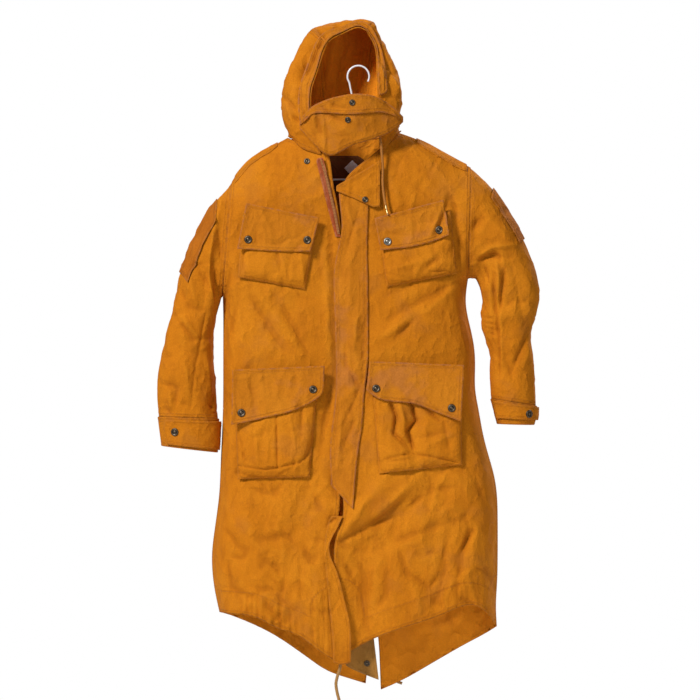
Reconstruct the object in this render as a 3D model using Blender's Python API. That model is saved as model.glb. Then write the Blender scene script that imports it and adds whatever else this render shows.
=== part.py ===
# A long canvas field parka, hung on a wire hanger.
#
# X runs to the wearer's left, Y to the back and Z up. The origin is the inside of the hanger's hook,
# on its highest point. Tables are in millimetres and read between their rows; the solids are in metres.
# "right" and "left" are the wearer's.

import math

import bmesh
import bpy
import numpy as np
from mathutils import Vector
from mathutils.bvhtree import BVHTree

MM = 0.001
CLOTH = 2.0 * MM          # a canvas wall with its turned edges
SEAM = 0.4 * MM           # between two pieces sewn edge to edge
REST = 0.6 * MM           # between a piece and what it lies on

SHOULDER_TIP = {"right": (-268, -243), "left": (236, -213)}
ARMPIT = {"right": (-287, -486), "left": (230, -450)}
ARMHOLE_HALF_DEPTH = 52
ARM_ROWS = 9              # rows between shoulder tip and armpit, shared with the sleeve's first ring
SKIRT_ROWS = 16           # rows from the armpit to the hem
HALF_COLUMNS = 9          # columns from a side seam to the centre
SHOULDER_ROUND = 150      # drop over which the body reaches its full depth
SIDE_ROUND = 3.4          # how square the body turns at its side seams

for thing in list(bpy.data.objects):
    bpy.data.objects.remove(thing, do_unlink=True)


# ---------------------------------------------------------------- materials

def look(name, colour, roughness=0.9, metallic=0.0):
    material = bpy.data.materials.new(name)
    material.use_nodes = True
    shader = material.node_tree.nodes["Principled BSDF"]
    shader.inputs["Base Color"].default_value = (*colour, 1.0)
    shader.inputs["Roughness"].default_value = roughness
    shader.inputs["Metallic"].default_value = metallic
    material.diffuse_color = (*colour, 1.0)
    return material


CANVAS = look("mustard_canvas", (0.58, 0.20, 0.018))
CANVAS_DARK = look("worn_canvas", (0.40, 0.12, 0.016))
FACING = look("olive_facing", (0.38, 0.17, 0.035))
TAPE = look("zip_tape_brown", (0.42, 0.10, 0.035), 0.8)
NECK_BROWN = look("dark_brown_twill", (0.035, 0.014, 0.008))
LABEL_GREY = look("pale_label", (0.50, 0.50, 0.48), 0.7)
SNAP_METAL = look("aged_snap", (0.20, 0.15, 0.10), 0.38, 1.0)
TIP_METAL = look("gold_tip", (0.80, 0.60, 0.25), 0.3, 1.0)
WHITE_WIRE = look("white_coated_wire", (0.85, 0.86, 0.88), 0.35)


# ---------------------------------------------------------------- tables and curves

def smooth(places, values, where):
    """A curve through the values that doesn't overshoot them."""
    places, values = np.asarray(places, float), np.asarray(values, float)
    if places[0] > places[-1]:
        places, values = places[::-1], values[::-1]
    where = np.clip(np.asarray(where, float), places[0], places[-1])
    step, rise = np.diff(places), np.diff(values)
    grade = rise / step
    slope = np.empty_like(values)
    slope[0], slope[-1] = grade[0], grade[-1]
    same_way = grade[:-1] * grade[1:] > 0
    total = np.where(same_way, grade[:-1] + grade[1:], 1.0)
    slope[1:-1] = np.where(same_way, 2 * grade[:-1] * grade[1:] / total, 0.0)
    row = np.clip(np.searchsorted(places, where, side="right") - 1, 0, len(step) - 1)
    t = (where - places[row]) / step[row]
    start, end = values[row], values[row + 1]
    lead, trail = slope[row] - grade[row], slope[row + 1] - grade[row]
    bend = step[row] * t * (1 - t) * ((1 - t) * lead - t * trail)
    return start + (end - start) * t + bend


class Table:
    """Rows of millimetres under named columns. The first column says where each row stands."""

    def __init__(self, columns, *rows):
        self.columns = columns.split()
        self.rows = np.array(rows, float)

    def column(self, name):
        return self.rows[:, self.columns.index(name)]

    def at(self, column, where):
        return float(smooth(self.rows[:, 0], self.column(column), where))


def between(start, end, share):
    return start + (end - start) * share


# ---------------------------------------------------------------- solids

def add_mesh(name, points, faces, material):
    mesh = bpy.data.meshes.new(name)
    mesh.from_pydata([tuple(p) for p in points], [], faces)
    work = bmesh.new()
    work.from_mesh(mesh)
    bmesh.ops.recalc_face_normals(work, faces=work.faces)
    work.to_mesh(mesh)
    work.free()
    mesh.materials.append(material)
    mesh.shade_smooth()
    mesh.set_sharp_from_angle(angle=math.radians(50))
    thing = bpy.data.objects.new(name, mesh)
    bpy.context.scene.collection.objects.link(thing)
    return thing


def grid_faces(row_count, column_count, ring=False, start=0):
    faces = []
    for row in range(row_count - 1):
        for column in range(column_count if ring else column_count - 1):
            across = (column + 1) % column_count
            here, below = start + row * column_count, start + (row + 1) * column_count
            faces.append((here + column, here + across, below + across, below + column))
    return faces


def vertex_normals(points, faces):
    normals = np.zeros((len(points), 3))
    for face in faces:
        corners = [np.array(points[i]) for i in face]
        normal = np.cross(corners[2] - corners[0], corners[3] - corners[1])
        for index in face:
            normals[index] += normal
    return normals / np.linalg.norm(normals, axis=1)[:, None]


def wall(name, points, faces, material, out, thick=CLOTH, level=None):
    """A cloth wall behind a sheet of points. Out is the way the sheet faces, or "round" for a tube.
    Level gives, for points on a seam, the axis that the wall's end stays square to."""
    points = np.array([tuple(p) for p in points], float)
    normals = vertex_normals(points, faces)
    away = points - points.mean(axis=0) if isinstance(out, str) else np.array(out, float)
    if (normals * away).sum() < 0:
        faces = [(a, d, c, b) for a, b, c, d in faces]
        normals = -normals
    for index, axis in (level or {}).items():
        axis = np.array(axis, float) / np.linalg.norm(axis)
        normals[index] -= axis * normals[index].dot(axis)
        normals[index] /= np.linalg.norm(normals[index])
    inner = points - normals * thick
    count = len(points)
    directed = {(face[i], face[(i + 1) % 4]) for face in faces for i in range(4)}
    solid = list(faces) + [(a + count, d + count, c + count, b + count) for a, b, c, d in faces]
    solid += [(b, a, a + count, b + count) for a, b in sorted(directed) if (b, a) not in directed]
    return add_mesh(name, np.vstack([points, inner]), solid, material)


def panel(name, rows, material, out, thick=CLOTH, ring=False, level=None):
    """A wall from a grid of points. Level maps (row, column) to an axis."""
    width = len(rows[0])
    points = [p for row in rows for p in row]
    seams = {row * width + column: axis for (row, column), axis in (level or {}).items()}
    return wall(name, points, grid_faces(len(rows), width, ring), material, out, thick, seams)


def tube(name, route, width, material, sides=8):
    """A filled round rod along a route, as a curve object."""
    curve = bpy.data.curves.new(name, "CURVE")
    curve.dimensions = "3D"
    spline = curve.splines.new("POLY")
    spline.points.add(len(route) - 1)
    for knot, place in zip(spline.points, route):
        knot.co = (*place, 1.0)
    curve.bevel_depth = width / 2
    curve.bevel_resolution = (sides - 4) // 2
    curve.use_fill_caps = True
    curve.materials.append(material)
    thing = bpy.data.objects.new(name, curve)
    bpy.context.scene.collection.objects.link(thing)
    return thing


def curve_through(knots, count):
    """Evenly spaced points on a smooth curve through the knots."""
    knots = np.array(knots, float)
    steps = np.concatenate([[0], np.cumsum(np.linalg.norm(np.diff(knots, axis=0), axis=1))])
    fine = np.linspace(0, steps[-1], 400)
    path = np.stack([catmull(steps, knots[:, axis], fine) for axis in range(3)], axis=1)
    run = np.concatenate([[0], np.cumsum(np.linalg.norm(np.diff(path, axis=0), axis=1))])
    even = np.linspace(0, run[-1], count)
    return np.stack([np.interp(even, run, path[:, axis]) for axis in range(3)], axis=1)


def catmull(places, values, where):
    """A smooth curve through the values, free to swing past them."""
    slope = np.gradient(values, places)
    row = np.clip(np.searchsorted(places, where, side="right") - 1, 0, len(places) - 2)
    step = places[row + 1] - places[row]
    t = (where - places[row]) / step
    return (
        (2 * t**3 - 3 * t**2 + 1) * values[row]
        + (t**3 - 2 * t**2 + t) * step * slope[row]
        + (3 * t**2 - 2 * t**3) * values[row + 1]
        + (t**3 - t**2) * step * slope[row + 1]
    )


class Skin:
    """The foremost surface of some pieces, as seen from the front."""

    def __init__(self, *pieces):
        self.trees = []
        graph = bpy.context.evaluated_depsgraph_get()
        for piece in pieces:
            self.trees.append(BVHTree.FromObject(piece, graph))

    def hit(self, x, z):
        """The foremost (y, normal) at a place, or None off the pieces' edges."""
        found = None
        for tree in self.trees:
            place, normal, _, _ = tree.ray_cast(Vector((x, -1.0, z)), Vector((0, 1, 0)))
            if place is not None and (found is None or place.y < found[0]):
                found = (place.y, normal)
        return found

    def front(self, x, z, reach):
        """The foremost y within a short reach of a place."""
        offsets = (-reach, 0, reach)
        hits = [self.hit(x + dx, z + dz) for dx in offsets for dz in offsets]
        found = [hit[0] for hit in hits if hit]
        return min(found) if found else None


def lay(places, skin, reach, lift=0.0, passes=12):
    """Rows of (x, z) in metres laid on a skin like taut cloth. Lift is the extra height of each place."""
    height, width = len(places), len(places[0])
    floor = np.full((height, width), np.nan)
    for row in range(height):
        for column in range(width):
            found = skin.front(*places[row][column], reach)
            if found is not None:
                floor[row, column] = found - REST - CLOTH
    for _ in range(height + width):
        if not np.isnan(floor).any():
            break
        for row, column in np.argwhere(np.isnan(floor)):
            near = floor[max(row - 1, 0):row + 2, max(column - 1, 0):column + 2]
            if not np.isnan(near).all():
                floor[row, column] = np.nanmin(near)
    depth = floor.copy()
    for _ in range(passes):
        padded = np.pad(depth, 1, mode="edge")
        around = (padded[:-2, 1:-1] + padded[2:, 1:-1] + padded[1:-1, :-2] + padded[1:-1, 2:]) / 4
        depth = np.minimum(floor, around)
    depth = depth - lift
    return [
        [Vector((x, depth[row, column], z)) for column, (x, z) in enumerate(line)]
        for row, line in enumerate(places)
    ]


# ---------------------------------------------------------------- the body's form

# The line where front and back meet over the shoulders, carried on across the neck.
RIDGE = Table(
    "reach height",
    (-268, -243), (-260, -229), (-246, -212), (-235, -200), (-212, -184), (-180, -166), (-150, -150),
    (-100, -120), (-35, -96), (30, -112), (86, -140), (112, -149), (149, -165), (175, -180), (236, -213),
)
# How far the body stands out before and behind its side seams.
DEPTH = Table(
    "height front back",
    (-95, 52, 46), (-250, 58, 50), (-400, 66, 56), (-520, 72, 60), (-700, 80, 66),
    (-880, 88, 72), (-1050, 94, 78), (-1320, 98, 84),
)
SIDE_SEAM = {
    "right": Table(
        "height reach",
        (-486, -285), (-570, -286), (-692, -286), (-828, -291), (-902, -294), (-961, -302),
        (-1038, -311), (-1094, -306), (-1150, -294),
    ),
    "left": Table(
        "height reach",
        (-450, 222), (-485, 222), (-543, 233), (-612, 247), (-675, 243), (-729, 254), (-786, 263), (-841, 280),
        (-890, 292), (-1003, 293), (-1088, 292), (-1133, 288), (-1179, 291),
    ),
}
# The neckline and, below it, the front edge.
FRONT_EDGE = {
    "right": Table(
        "height reach",
        (-150, -150), (-177, -122), (-190, -80), (-215, -60), (-261, -57), (-299, -47), (-345, -39),
        (-375, -36), (-587, -34), (-800, -41), (-885, -44), (-931, -34), (-965, -47), (-1007, -67),
        (-1055, -62), (-1110, -56), (-1164, -53), (-1248, -48),
    ),
    "left": Table(
        "height reach",
        (-140, 86), (-165, 62), (-190, 46), (-215, 20), (-240, -10), (-262, -34), (-299, -38), (-340, -31),
        (-375, -30), (-587, -28), (-800, -35), (-885, -37), (-931, -27), (-965, -38), (-1007, -57),
        (-1055, -50), (-1110, -42), (-1164, -32), (-1227, -26),
    ),
}
# The back's centre line, and below the vent the edges of its two tails.
BACK_CENTRE = Table(
    "height right left", (-150, -35, -35), (-600, -10, -10), (-1130, 26, 26), (-1200, 24, 42), (-1318, 13, 47),
)
VENT_TOP = -1130
VENT_ROW = 22             # the row of points that lies at the vent's top
# Heights of the rows that start on the neckline, down to the level of the armpit.
NECK_ROWS = {
    ("right", "front"): (-150, -168, -181, -190, -215, -255, -305, -360, -415, -470),
    ("left", "front"): (-140, -165, -190, -215, -240, -262, -300, -345, -400, -450),
    ("right", "back"): (-152, -165, -185, -210, -240, -275, -315, -360, -415, -475),
    ("left", "back"): (-152, -165, -185, -210, -240, -275, -315, -360, -415, -475),
}
HEM = {
    ("right", "front"): Table(
        "reach height",
        (-294, -1150), (-218, -1153), (-197, -1165), (-180, -1179), (-145, -1186), (-117, -1199),
        (-86, -1226), (-48, -1249),
    ),
    ("left", "front"): Table(
        "reach height",
        (-28, -1232), (25, -1202), (71, -1185), (185, -1148), (230, -1127), (274, -1150), (291, -1180),
    ),
    ("right", "back"): Table(
        "reach height",
        (-294, -1150), (-250, -1167), (-176, -1203), (-120, -1242), (-48, -1289), (-29, -1292), (13, -1305),
    ),
    ("left", "back"): Table(
        "reach height", (47, -1318), (91, -1299), (150, -1265), (220, -1224), (274, -1194), (291, -1180),
    ),
}
# The largest folds: a line on the cloth from one end to the other, its half width, and how far it
# stands out (or, where less than nothing, sinks in).
FOLDS = {
    "front": Table(
        "from_x from_z to_x to_z spread out",
        (-30, -1000, 95, -868, 20, 15),
        (-40, -1062, 90, -950, 17, -13),
        (70, -1040, 200, -905, 24, 9),
        (228, -900, 202, -1080, 22, 9),
        (8, -1080, 6, -1230, 15, -22),
        (48, -1080, 40, -1210, 15, 8),
        (110, -960, 118, -1150, 24, 8),
        (160, -1000, 150, -1150, 20, -7),
        (-110, -880, -150, -1060, 20, -9),
        (-150, -900, -190, -1130, 22, 9),
        (-85, -940, -100, -1150, 20, 9),
        (-240, -930, -215, -1120, 24, 8),
        (-255, -1095, -250, -1152, 12, -8),
        (-225, -1095, -222, -1155, 12, 8),
        (-262, -560, -120, -500, 22, -7),
        (150, -520, 60, -600, 24, 7),
        (-70, -380, -64, -640, 13, -6),
        (200, -300, 215, -480, 20, -7),
        (-245, -320, -262, -500, 18, -6),
    ),
    "back": Table(
        "from_x from_z to_x to_z spread out",
        (-150, -320, -190, -620, 28, 9),
        (110, -330, 150, -640, 28, 9),
        (-30, -260, -20, -620, 34, -9),
        (-120, -720, -170, -1130, 30, 10),
        (40, -700, 90, -1150, 30, 9),
        (-40, -760, -60, -1200, 26, -8),
        (190, -720, 220, -1100, 26, -8),
    ),
}


def fold_height(folds, x, z):
    """How far the folds push a place on the cloth out, in mm."""
    out = 0.0
    for from_x, from_z, to_x, to_z, spread, height in folds.rows:
        along_x, along_z = to_x - from_x, to_z - from_z
        length = math.hypot(along_x, along_z)
        share = ((x - from_x) * along_x + (z - from_z) * along_z) / length**2
        off = ((x - from_x) * along_z - (z - from_z) * along_x) / length
        past = max(0.0, -share, share - 1) * length
        out += height * math.exp(-((off / spread) ** 2) - (past / (1.6 * spread)) ** 2)
    return out


def armhole_half_depth(side, z):
    """Half the armhole's width, front to back, at a height."""
    top, bottom = SHOULDER_TIP[side][1], ARMPIT[side][1]
    share = min(1.0, abs((z - (top + bottom) / 2) / ((top - bottom) / 2)))
    return ARMHOLE_HALF_DEPTH * math.sqrt(1 - share**2)


def body_out(side, face, x, z, across):
    """How far the body stands out of the plane of its side seams, in mm. Across runs 0 to 1 to the centre."""
    depth = DEPTH.at(face, z)
    drop = max(0.0, RIDGE.at("height", x) - z)
    round_over = math.sqrt(1 - (1 - min(drop / SHOULDER_ROUND, 1)) ** 2)
    inside = (1 - (1 - across) ** SIDE_ROUND) ** (1 / SIDE_ROUND)
    folds = fold_height(FOLDS[face], x, z) * min(1.0, across * 4) * min(1.0, drop / 60)
    return armhole_half_depth(side, z) * (1 - inside) + (depth * round_over + folds) * inside


def half_grid(side, face):
    """Points of half the body, from the side seam to its centre edge, and from the shoulder down."""
    tip, pit = SHOULDER_TIP[side], ARMPIT[side]
    neck_rows, hem = NECK_ROWS[side, face], HEM[side, face]
    hem_ends = (hem.rows[0], hem.rows[-1]) if side == "right" else (hem.rows[-1], hem.rows[0])
    way = -1 if face == "front" else 1
    last_row = ARM_ROWS + SKIRT_ROWS
    rows = []
    for row in range(last_row + 1):
        if row <= ARM_ROWS:
            turn = (1 - math.cos(math.pi * row / ARM_ROWS)) / 2
            outer = (between(tip[0], pit[0], turn), between(tip[1], pit[1], turn))
            inner_height = neck_rows[row]
        else:
            share = (row - ARM_ROWS) / SKIRT_ROWS
            outer_height = between(pit[1], hem_ends[0][1], share)
            outer = (SIDE_SEAM[side].at("reach", outer_height), outer_height)
            inner_height = between(neck_rows[-1], hem_ends[1][1], share)
            if face == "back" and row <= VENT_ROW:
                inner_height = between(neck_rows[-1], VENT_TOP, (row - ARM_ROWS) / (VENT_ROW - ARM_ROWS))
            elif face == "back":
                inner_height = between(VENT_TOP, hem_ends[1][1], (row - VENT_ROW) / (last_row - VENT_ROW))
        if face == "front":
            inner_reach = FRONT_EDGE[side].at("reach", inner_height)
        else:
            inner_reach = BACK_CENTRE.at("right" if inner_height > VENT_TOP - 1 else side, inner_height)
        line = []
        for column in range(HALF_COLUMNS + 1):
            across = (column / HALF_COLUMNS) ** 1.25
            x = between(outer[0], inner_reach, across)
            z = between(outer[1], inner_height, across)
            if face == "back" and row <= ARM_ROWS:
                x, z = back_top(side, row, across, x, z)
            elif row < ARM_ROWS:
                bow = RIDGE.at("height", x) - between(tip[1], neck_rows[0], across)
                z += bow * (1 - row / ARM_ROWS)
            if row > ARM_ROWS:
                chest = between(pit[1], neck_rows[-1], across)
                centre_share = (neck_rows[-1] - inner_height) / (neck_rows[-1] - hem_ends[1][1])
                low = between(hem_ends[0][0], hem_ends[1][0], across)
                z = between(chest, hem.at("height", low), between(share, centre_share, across))
            out = body_out(side, face, x, z, across)
            line.append(Vector((x * MM, way * (out * MM + SEAM / 2), z * MM)))
        rows.append(line)
    return rows


def back_top(side, row, across, x, z):
    """The back's upper rows start on the shoulder seam and, past the neck point, on the back neckline."""
    neck = FRONT_EDGE[side].rows[0]
    tip = SHOULDER_TIP[side]
    neck_share = (neck[1] - tip[0]) / (BACK_CENTRE.rows[0][1] - tip[0])
    if across <= neck_share:
        top = RIDGE.at("height", x)
    else:
        past = (across - neck_share) / (1 - neck_share)
        top = between(neck[0], NECK_ROWS[side, "back"][0], math.sin(past * math.pi / 2))
    straight = between(tip[1], NECK_ROWS[side, "back"][0], across)
    return x, z + (top - straight) * (1 - row / ARM_ROWS)


def armhole_axis(side):
    """The way the armhole faces: square to the line from shoulder tip to armpit."""
    tip, pit = SHOULDER_TIP[side], ARMPIT[side]
    return (tip[1] - pit[1], 0, pit[0] - tip[0])


def body_seams(side, row_count, neck_share=1.0):
    """Axes that the wall's ends stay square to: along Y on shoulder and side seams, across the armhole."""
    seams = {}
    for column in range(HALF_COLUMNS + 1):
        share = (column / HALF_COLUMNS) ** 1.25
        if share <= neck_share:
            seams[0, column] = (0, 1, 0)
    for row in range(1, row_count):
        seams[row, 0] = armhole_axis(side) if row < ARM_ROWS else (0, 1, 0)
    return seams


fronts = {}
for side in ("right", "left"):
    grid = half_grid(side, "front")
    fronts[side] = panel(
        "front_" + side, grid, CANVAS, (0, -1, 0), level=body_seams(side, len(grid)),
    )

# The back is one piece: its halves share the centre line down to the vent, and part below it.
back_points, back_faces, back_levels = [], [], {}
for side in ("right", "left"):
    grid = half_grid(side, "back")
    start = len(back_points)
    width = len(grid[0])
    tip_reach = SHOULDER_TIP[side][0]
    neck_share = (FRONT_EDGE[side].rows[0][1] - tip_reach) / (BACK_CENTRE.rows[0][1] - tip_reach)
    back_points += [p for row in grid for p in row]
    faces = grid_faces(len(grid), width, start=start)
    back_faces += faces if side == "right" else [(a, d, c, b) for a, b, c, d in faces]
    for (row, column), axis in body_seams(side, len(grid), neck_share=neck_share).items():
        back_levels[start + row * width + column] = axis
half = len(back_points) // 2
width = HALF_COLUMNS + 1
same = {}
for row in range(half // width):
    right_index, left_index = row * width + width - 1, half + row * width + width - 1
    if (back_points[right_index] - back_points[left_index]).length < 1.0 * MM:
        same[left_index] = right_index
kept = [index for index in range(len(back_points)) if index not in same]
place_of = {index: place for place, index in enumerate(kept)}
place_of.update({gone: place_of[stays] for gone, stays in same.items()})
back = wall(
    "back",
    [back_points[index] for index in kept],
    [tuple(place_of[index] for index in face) for face in back_faces],
    CANVAS,
    (0, 1, 0),
    level={place_of[index]: axis for index, axis in back_levels.items()},
)


# ---------------------------------------------------------------- sleeves

# Each row is one ring of the sleeve seen from the front: its outer and inner point, and half its depth.
SLEEVE = {
    "right": Table(
        "ring outer_x outer_z inner_x inner_z half_depth",
        (0, -268, -243, -287, -486, 52), (1, -292, -272, -290, -489, 52), (2, -323, -309, -293, -495, 51),
        (3, -350, -366, -296, -506, 50), (4, -374, -421, -299, -522, 48), (5, -385, -470, -303, -546, 46),
        (6, -394, -516, -305, -575, 45), (7, -406, -562, -304, -608, 45), (8, -416, -603, -303, -642, 45),
        (9, -425, -650, -301, -678, 45), (10, -427, -700, -298, -712, 44), (11, -423, -738, -296, -742, 42),
    ),
    "left": Table(
        "ring outer_x outer_z inner_x inner_z half_depth",
        (0, 236, -213, 230, -450, 52), (1, 275, -247, 237, -448, 52), (2, 308, -291, 244, -449, 51),
        (3, 337, -340, 250, -458, 50), (4, 359, -389, 256, -474, 48), (5, 379, -448, 261, -498, 46),
        (6, 382, -488, 256, -520, 45), (7, 373, -530, 254, -545, 45), (8, 360, -568, 268, -574, 45),
        (9, 368, -610, 276, -605, 45), (10, 373, -660, 274, -650, 44), (11, 374, -715, 278, -700, 42),
    ),
}
CUFF = {
    "right": Table(
        "ring outer_x outer_z inner_x inner_z half_depth",
        (0, -426, -739, -293, -743, 45), (1, -423, -768, -294, -778, 44), (2, -418, -799, -296, -813, 42),
    ),
    "left": Table(
        "ring outer_x outer_z inner_x inner_z half_depth",
        (0, 377, -716, 276, -701, 45), (1, 377, -735, 282, -728, 44), (2, 371, -755, 290, -753, 42),
    ),
}
# Folds of a sleeve: where along it (ring), where round it (degrees from the outer edge, to the front),
# how far each way they reach, and how far they stand out.
SLEEVE_FOLDS = {
    "right": Table(
        "ring angle along round out",
        (1.2, 60, 1.6, 18, 7), (2.4, 96, 2.4, 14, -9), (3.4, 125, 2.0, 16, 8), (2.2, 140, 1.5, 14, -7),
        (5.6, 30, 0.5, 60, -5), (6.6, 60, 0.6, 60, 5), (7.4, 100, 0.5, 50, -5), (8.6, 70, 0.8, 40, 4),
        (6.2, 250, 0.7, 60, -5), (8.0, 280, 0.7, 50, 4), (3.0, 250, 2.0, 20, 6),
    ),
    "left": Table(
        "ring angle along round out",
        (2.0, 70, 2.0, 16, 6), (3.4, 100, 1.4, 20, -9), (4.4, 125, 1.0, 30, 9), (5.4, 110, 0.5, 50, -8),
        (6.3, 100, 0.5, 60, 6), (7.3, 90, 0.4, 60, -7), (8.4, 70, 0.6, 50, 5), (9.5, 100, 0.5, 40, -4),
        (6.4, 250, 0.7, 60, -5), (8.0, 280, 0.7, 50, 4), (3.0, 250, 2.0, 20, 6),
    ),
}
RING_POINTS = 2 * ARM_ROWS


def tube_point(table, ring, angle, out=0.0, folds=None):
    """A point of a sleeve or cuff, in metres. The angle runs from the outer edge over the front."""
    outer = np.array((table.at("outer_x", ring), 0, table.at("outer_z", ring)))
    inner = np.array((table.at("inner_x", ring), 0, table.at("inner_z", ring)))
    middle, reach = (outer + inner) / 2, (outer - inner) / 2
    length = np.linalg.norm(reach)
    swell = out
    for fold_ring, fold_angle, along, round_by, height in (folds.rows if folds else ()):
        turn = (angle - fold_angle + 180) % 360 - 180
        settle = min(1.0, ring)
        swell += settle * height * math.exp(-(((ring - fold_ring) / along) ** 2) - (turn / round_by) ** 2)
    turn = math.radians(angle)
    place = middle + reach / length * (length + swell) * math.cos(turn)
    place[1] = -(table.at("half_depth", ring) + swell) * math.sin(turn)
    return Vector(place * MM)


def ring_axis(table, ring):
    """Square to a ring, in the plane seen from the front."""
    along_x = table.at("inner_x", ring) - table.at("outer_x", ring)
    along_z = table.at("outer_z", ring) - table.at("inner_z", ring)
    return (along_z, 0, along_x)


sleeves, cuffs = {}, {}
angles = [360 * step / RING_POINTS for step in range(RING_POINTS)]
rings = [0] + [0.5 + 0.75 * step for step in range(15)]
for side in ("right", "left"):
    table, folds = SLEEVE[side], SLEEVE_FOLDS[side]
    grid = [[tube_point(table, ring, angle, 0, folds) for angle in angles] for ring in rings]
    axis = Vector(ring_axis(table, 0)).normalized() * SEAM
    if (axis.x > 0) != (side == "left"):
        axis = -axis
    grid[0] = [point + axis for point in grid[0]]
    last = len(rings) - 1
    level = {(0, column): ring_axis(table, 0) for column in range(RING_POINTS)}
    level.update({(last, column): ring_axis(table, 11) for column in range(RING_POINTS)})
    sleeves[side] = panel("sleeve_" + side, grid, CANVAS, "round", ring=True, level=level)
    table = CUFF[side]
    grid = [[tube_point(table, ring, angle) for angle in angles] for ring in (0, 0.15, 1, 1.85, 2)]
    cuffs[side] = panel("cuff_" + side, grid, CANVAS, "round", ring=True)


# ---------------------------------------------------------------- sleeve trims

def moved_out(table, rings, turns, out, folds=None):
    """Points of a sleeve or cuff, moved out."""
    return [[tube_point(table, ring, angle, out, folds) for angle in turns] for ring in rings]


# A patch's rings, and its ring points round the outer edge.
PATCH = {"right": (2, 7, -3, 3), "left": (2, 6, -3, 2)}
# A tab's tip and end in degrees, and its top and bottom rings.
TAB = {"right": (36, 190, 0.15, 1.85), "left": (-14, 150, 0.1, 1.5)}
PATCH_OUT = 3.6
TAB_OUT = 3.2
tabs = {}
for side in ("right", "left"):
    first, last, turn_from, turn_to = PATCH[side]
    turns = [360 / RING_POINTS * step for step in range(turn_from, turn_to + 1)]
    grid = moved_out(SLEEVE[side], rings[first:last], turns, PATCH_OUT, SLEEVE_FOLDS[side])
    panel("arm_patch_" + side, grid, CANVAS_DARK, (-1 if side == "right" else 1, 0, 0.6))
    tip, end, top, bottom = TAB[side]
    grid = []
    for step in range(4):
        ring = between(top, bottom, step / 3)
        point_back = 9 * abs(step - 1.5) / 1.5
        turns = [between(tip + point_back, end, turn / 9) for turn in range(10)]
        grid.append([tube_point(CUFF[side], ring, turn, TAB_OUT) for turn in turns])
    tabs[side] = panel("cuff_tab_" + side, grid, CANVAS, (0, -1, 0))


# ---------------------------------------------------------------- pieces laid on the fronts

def strip(table, count, columns):
    """Rows of (x, z) between a table's left and right edges. Columns are shares of the width."""
    heights = np.linspace(table.rows[0, 0], table.rows[-1, 0], count)
    return [
        [(between(table.at("left", z), table.at("right", z), share) * MM, z * MM) for share in columns]
        for z in heights
    ]


def spread(count, first=0.0, last=1.0):
    return [between(first, last, step / (count - 1)) for step in range(count)]


front_skin = Skin(fronts["right"], fronts["left"])
ZIP_TAPE = Table(
    "height left right",
    (-194, -92, -76), (-230, -82, -66), (-280, -70, -54), (-320, -60, -45), (-360, -49, -39),
)
TAPE_THICK = 1.2 * MM
tape_grid = lay(strip(ZIP_TAPE, 8, spread(3)), front_skin, 4 * MM)
zip_tape = panel("zip_tape", tape_grid, TAPE, (0, -1, 0), TAPE_THICK)

PLACKET = Table(
    "height left right",
    (-266, -42, 19), (-299, -40, 19), (-335, -34, 18), (-362, -38, 17), (-400, -48, 17), (-429, -54, 18),
    (-513, -51, 19), (-629, -48, 19), (-702, -49, 9), (-732, -53, 9), (-807, -61, -2), (-885, -58, -10),
    (-905, -58, -13),
)
PLACKET_SLANT = 24        # its lower right corner hangs this much below, and the left as much above
placket_places = strip(PLACKET, 19, spread(5))
slant_row = placket_places[-1]
placket_places[-1] = [
    (x, z + PLACKET_SLANT * MM * (1 - 2 * share)) for (x, z), share in zip(slant_row, spread(5))
]
placket = panel("placket", lay(placket_places, front_skin, 6 * MM), CANVAS, (0, -1, 0))

EDGE_STRIP = Table(
    "height left right",
    (-945, -60, -34), (-965, -66, -43), (-990, -71, -58), (-1013, -73, -64), (-1038, -71, -58),
    (-1059, -69, -46), (-1118, -63, -31), (-1151, -60, -23), (-1179, -57, -17), (-1219, -54, -17),
    (-1250, -54, -17),
)
STRIP_LIFT = 7 * MM
STRIP_TIP = 6 * MM
strip_places = strip(EDGE_STRIP, 15, spread(4))
strip_places[-1] = [
    (x, z - STRIP_TIP * math.sin(math.pi * share)) for (x, z), share in zip(strip_places[-1], spread(4))
]
strip_rise = np.linspace(0, 1, 15)[:, None] * np.ones((1, 4)) * STRIP_LIFT
panel("edge_strip", lay(strip_places, front_skin, 5 * MM, strip_rise), CANVAS, (0, -1, 0))

UNDERLAP_OUT = -62
underlap_grid = []
for drop in spread(5):
    line = []
    for share in spread(6):
        x = between(-27, between(28, 41, drop), share)
        bottom = between(-1259, -1289, share**0.8)
        z = between(-1178, bottom, drop)
        line.append(Vector((x * MM, (UNDERLAP_OUT + 4 * math.sin(3 * share)) * MM, z * MM)))
    underlap_grid.append(line)
underlap = panel("underlap", underlap_grid, FACING, (0, -1, 0))


def quad_places(top_left, top_right, bottom_right, bottom_left, rows, columns):
    """Rows of (x, z) spread between four corners."""
    places = []
    for down in rows:
        line = []
        for across in columns:
            top = [between(top_left[i], top_right[i], across) for i in (0, 1)]
            low = [between(bottom_left[i], bottom_right[i], across) for i in (0, 1)]
            line.append((between(top[0], low[0], down) * MM, between(top[1], low[1], down) * MM))
        places.append(line)
    return places


def bag_lift(rows, columns, puff, seam_row):
    """How far a bellows pocket stands off: steep at its sides and under its bottom seam."""
    lift = np.zeros((len(rows), len(columns)))
    for r, down in enumerate(rows):
        for c, across in enumerate(columns):
            sides = (1 - abs(2 * across - 1) ** 5) ** 0.5
            if down <= seam_row:
                height = between(0.35, 1.0, down / seam_row)
            else:
                height = 1 - ((down - seam_row) / (1 - seam_row)) ** 1.6
            lift[r, c] = puff * sides * height
    return lift


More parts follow.
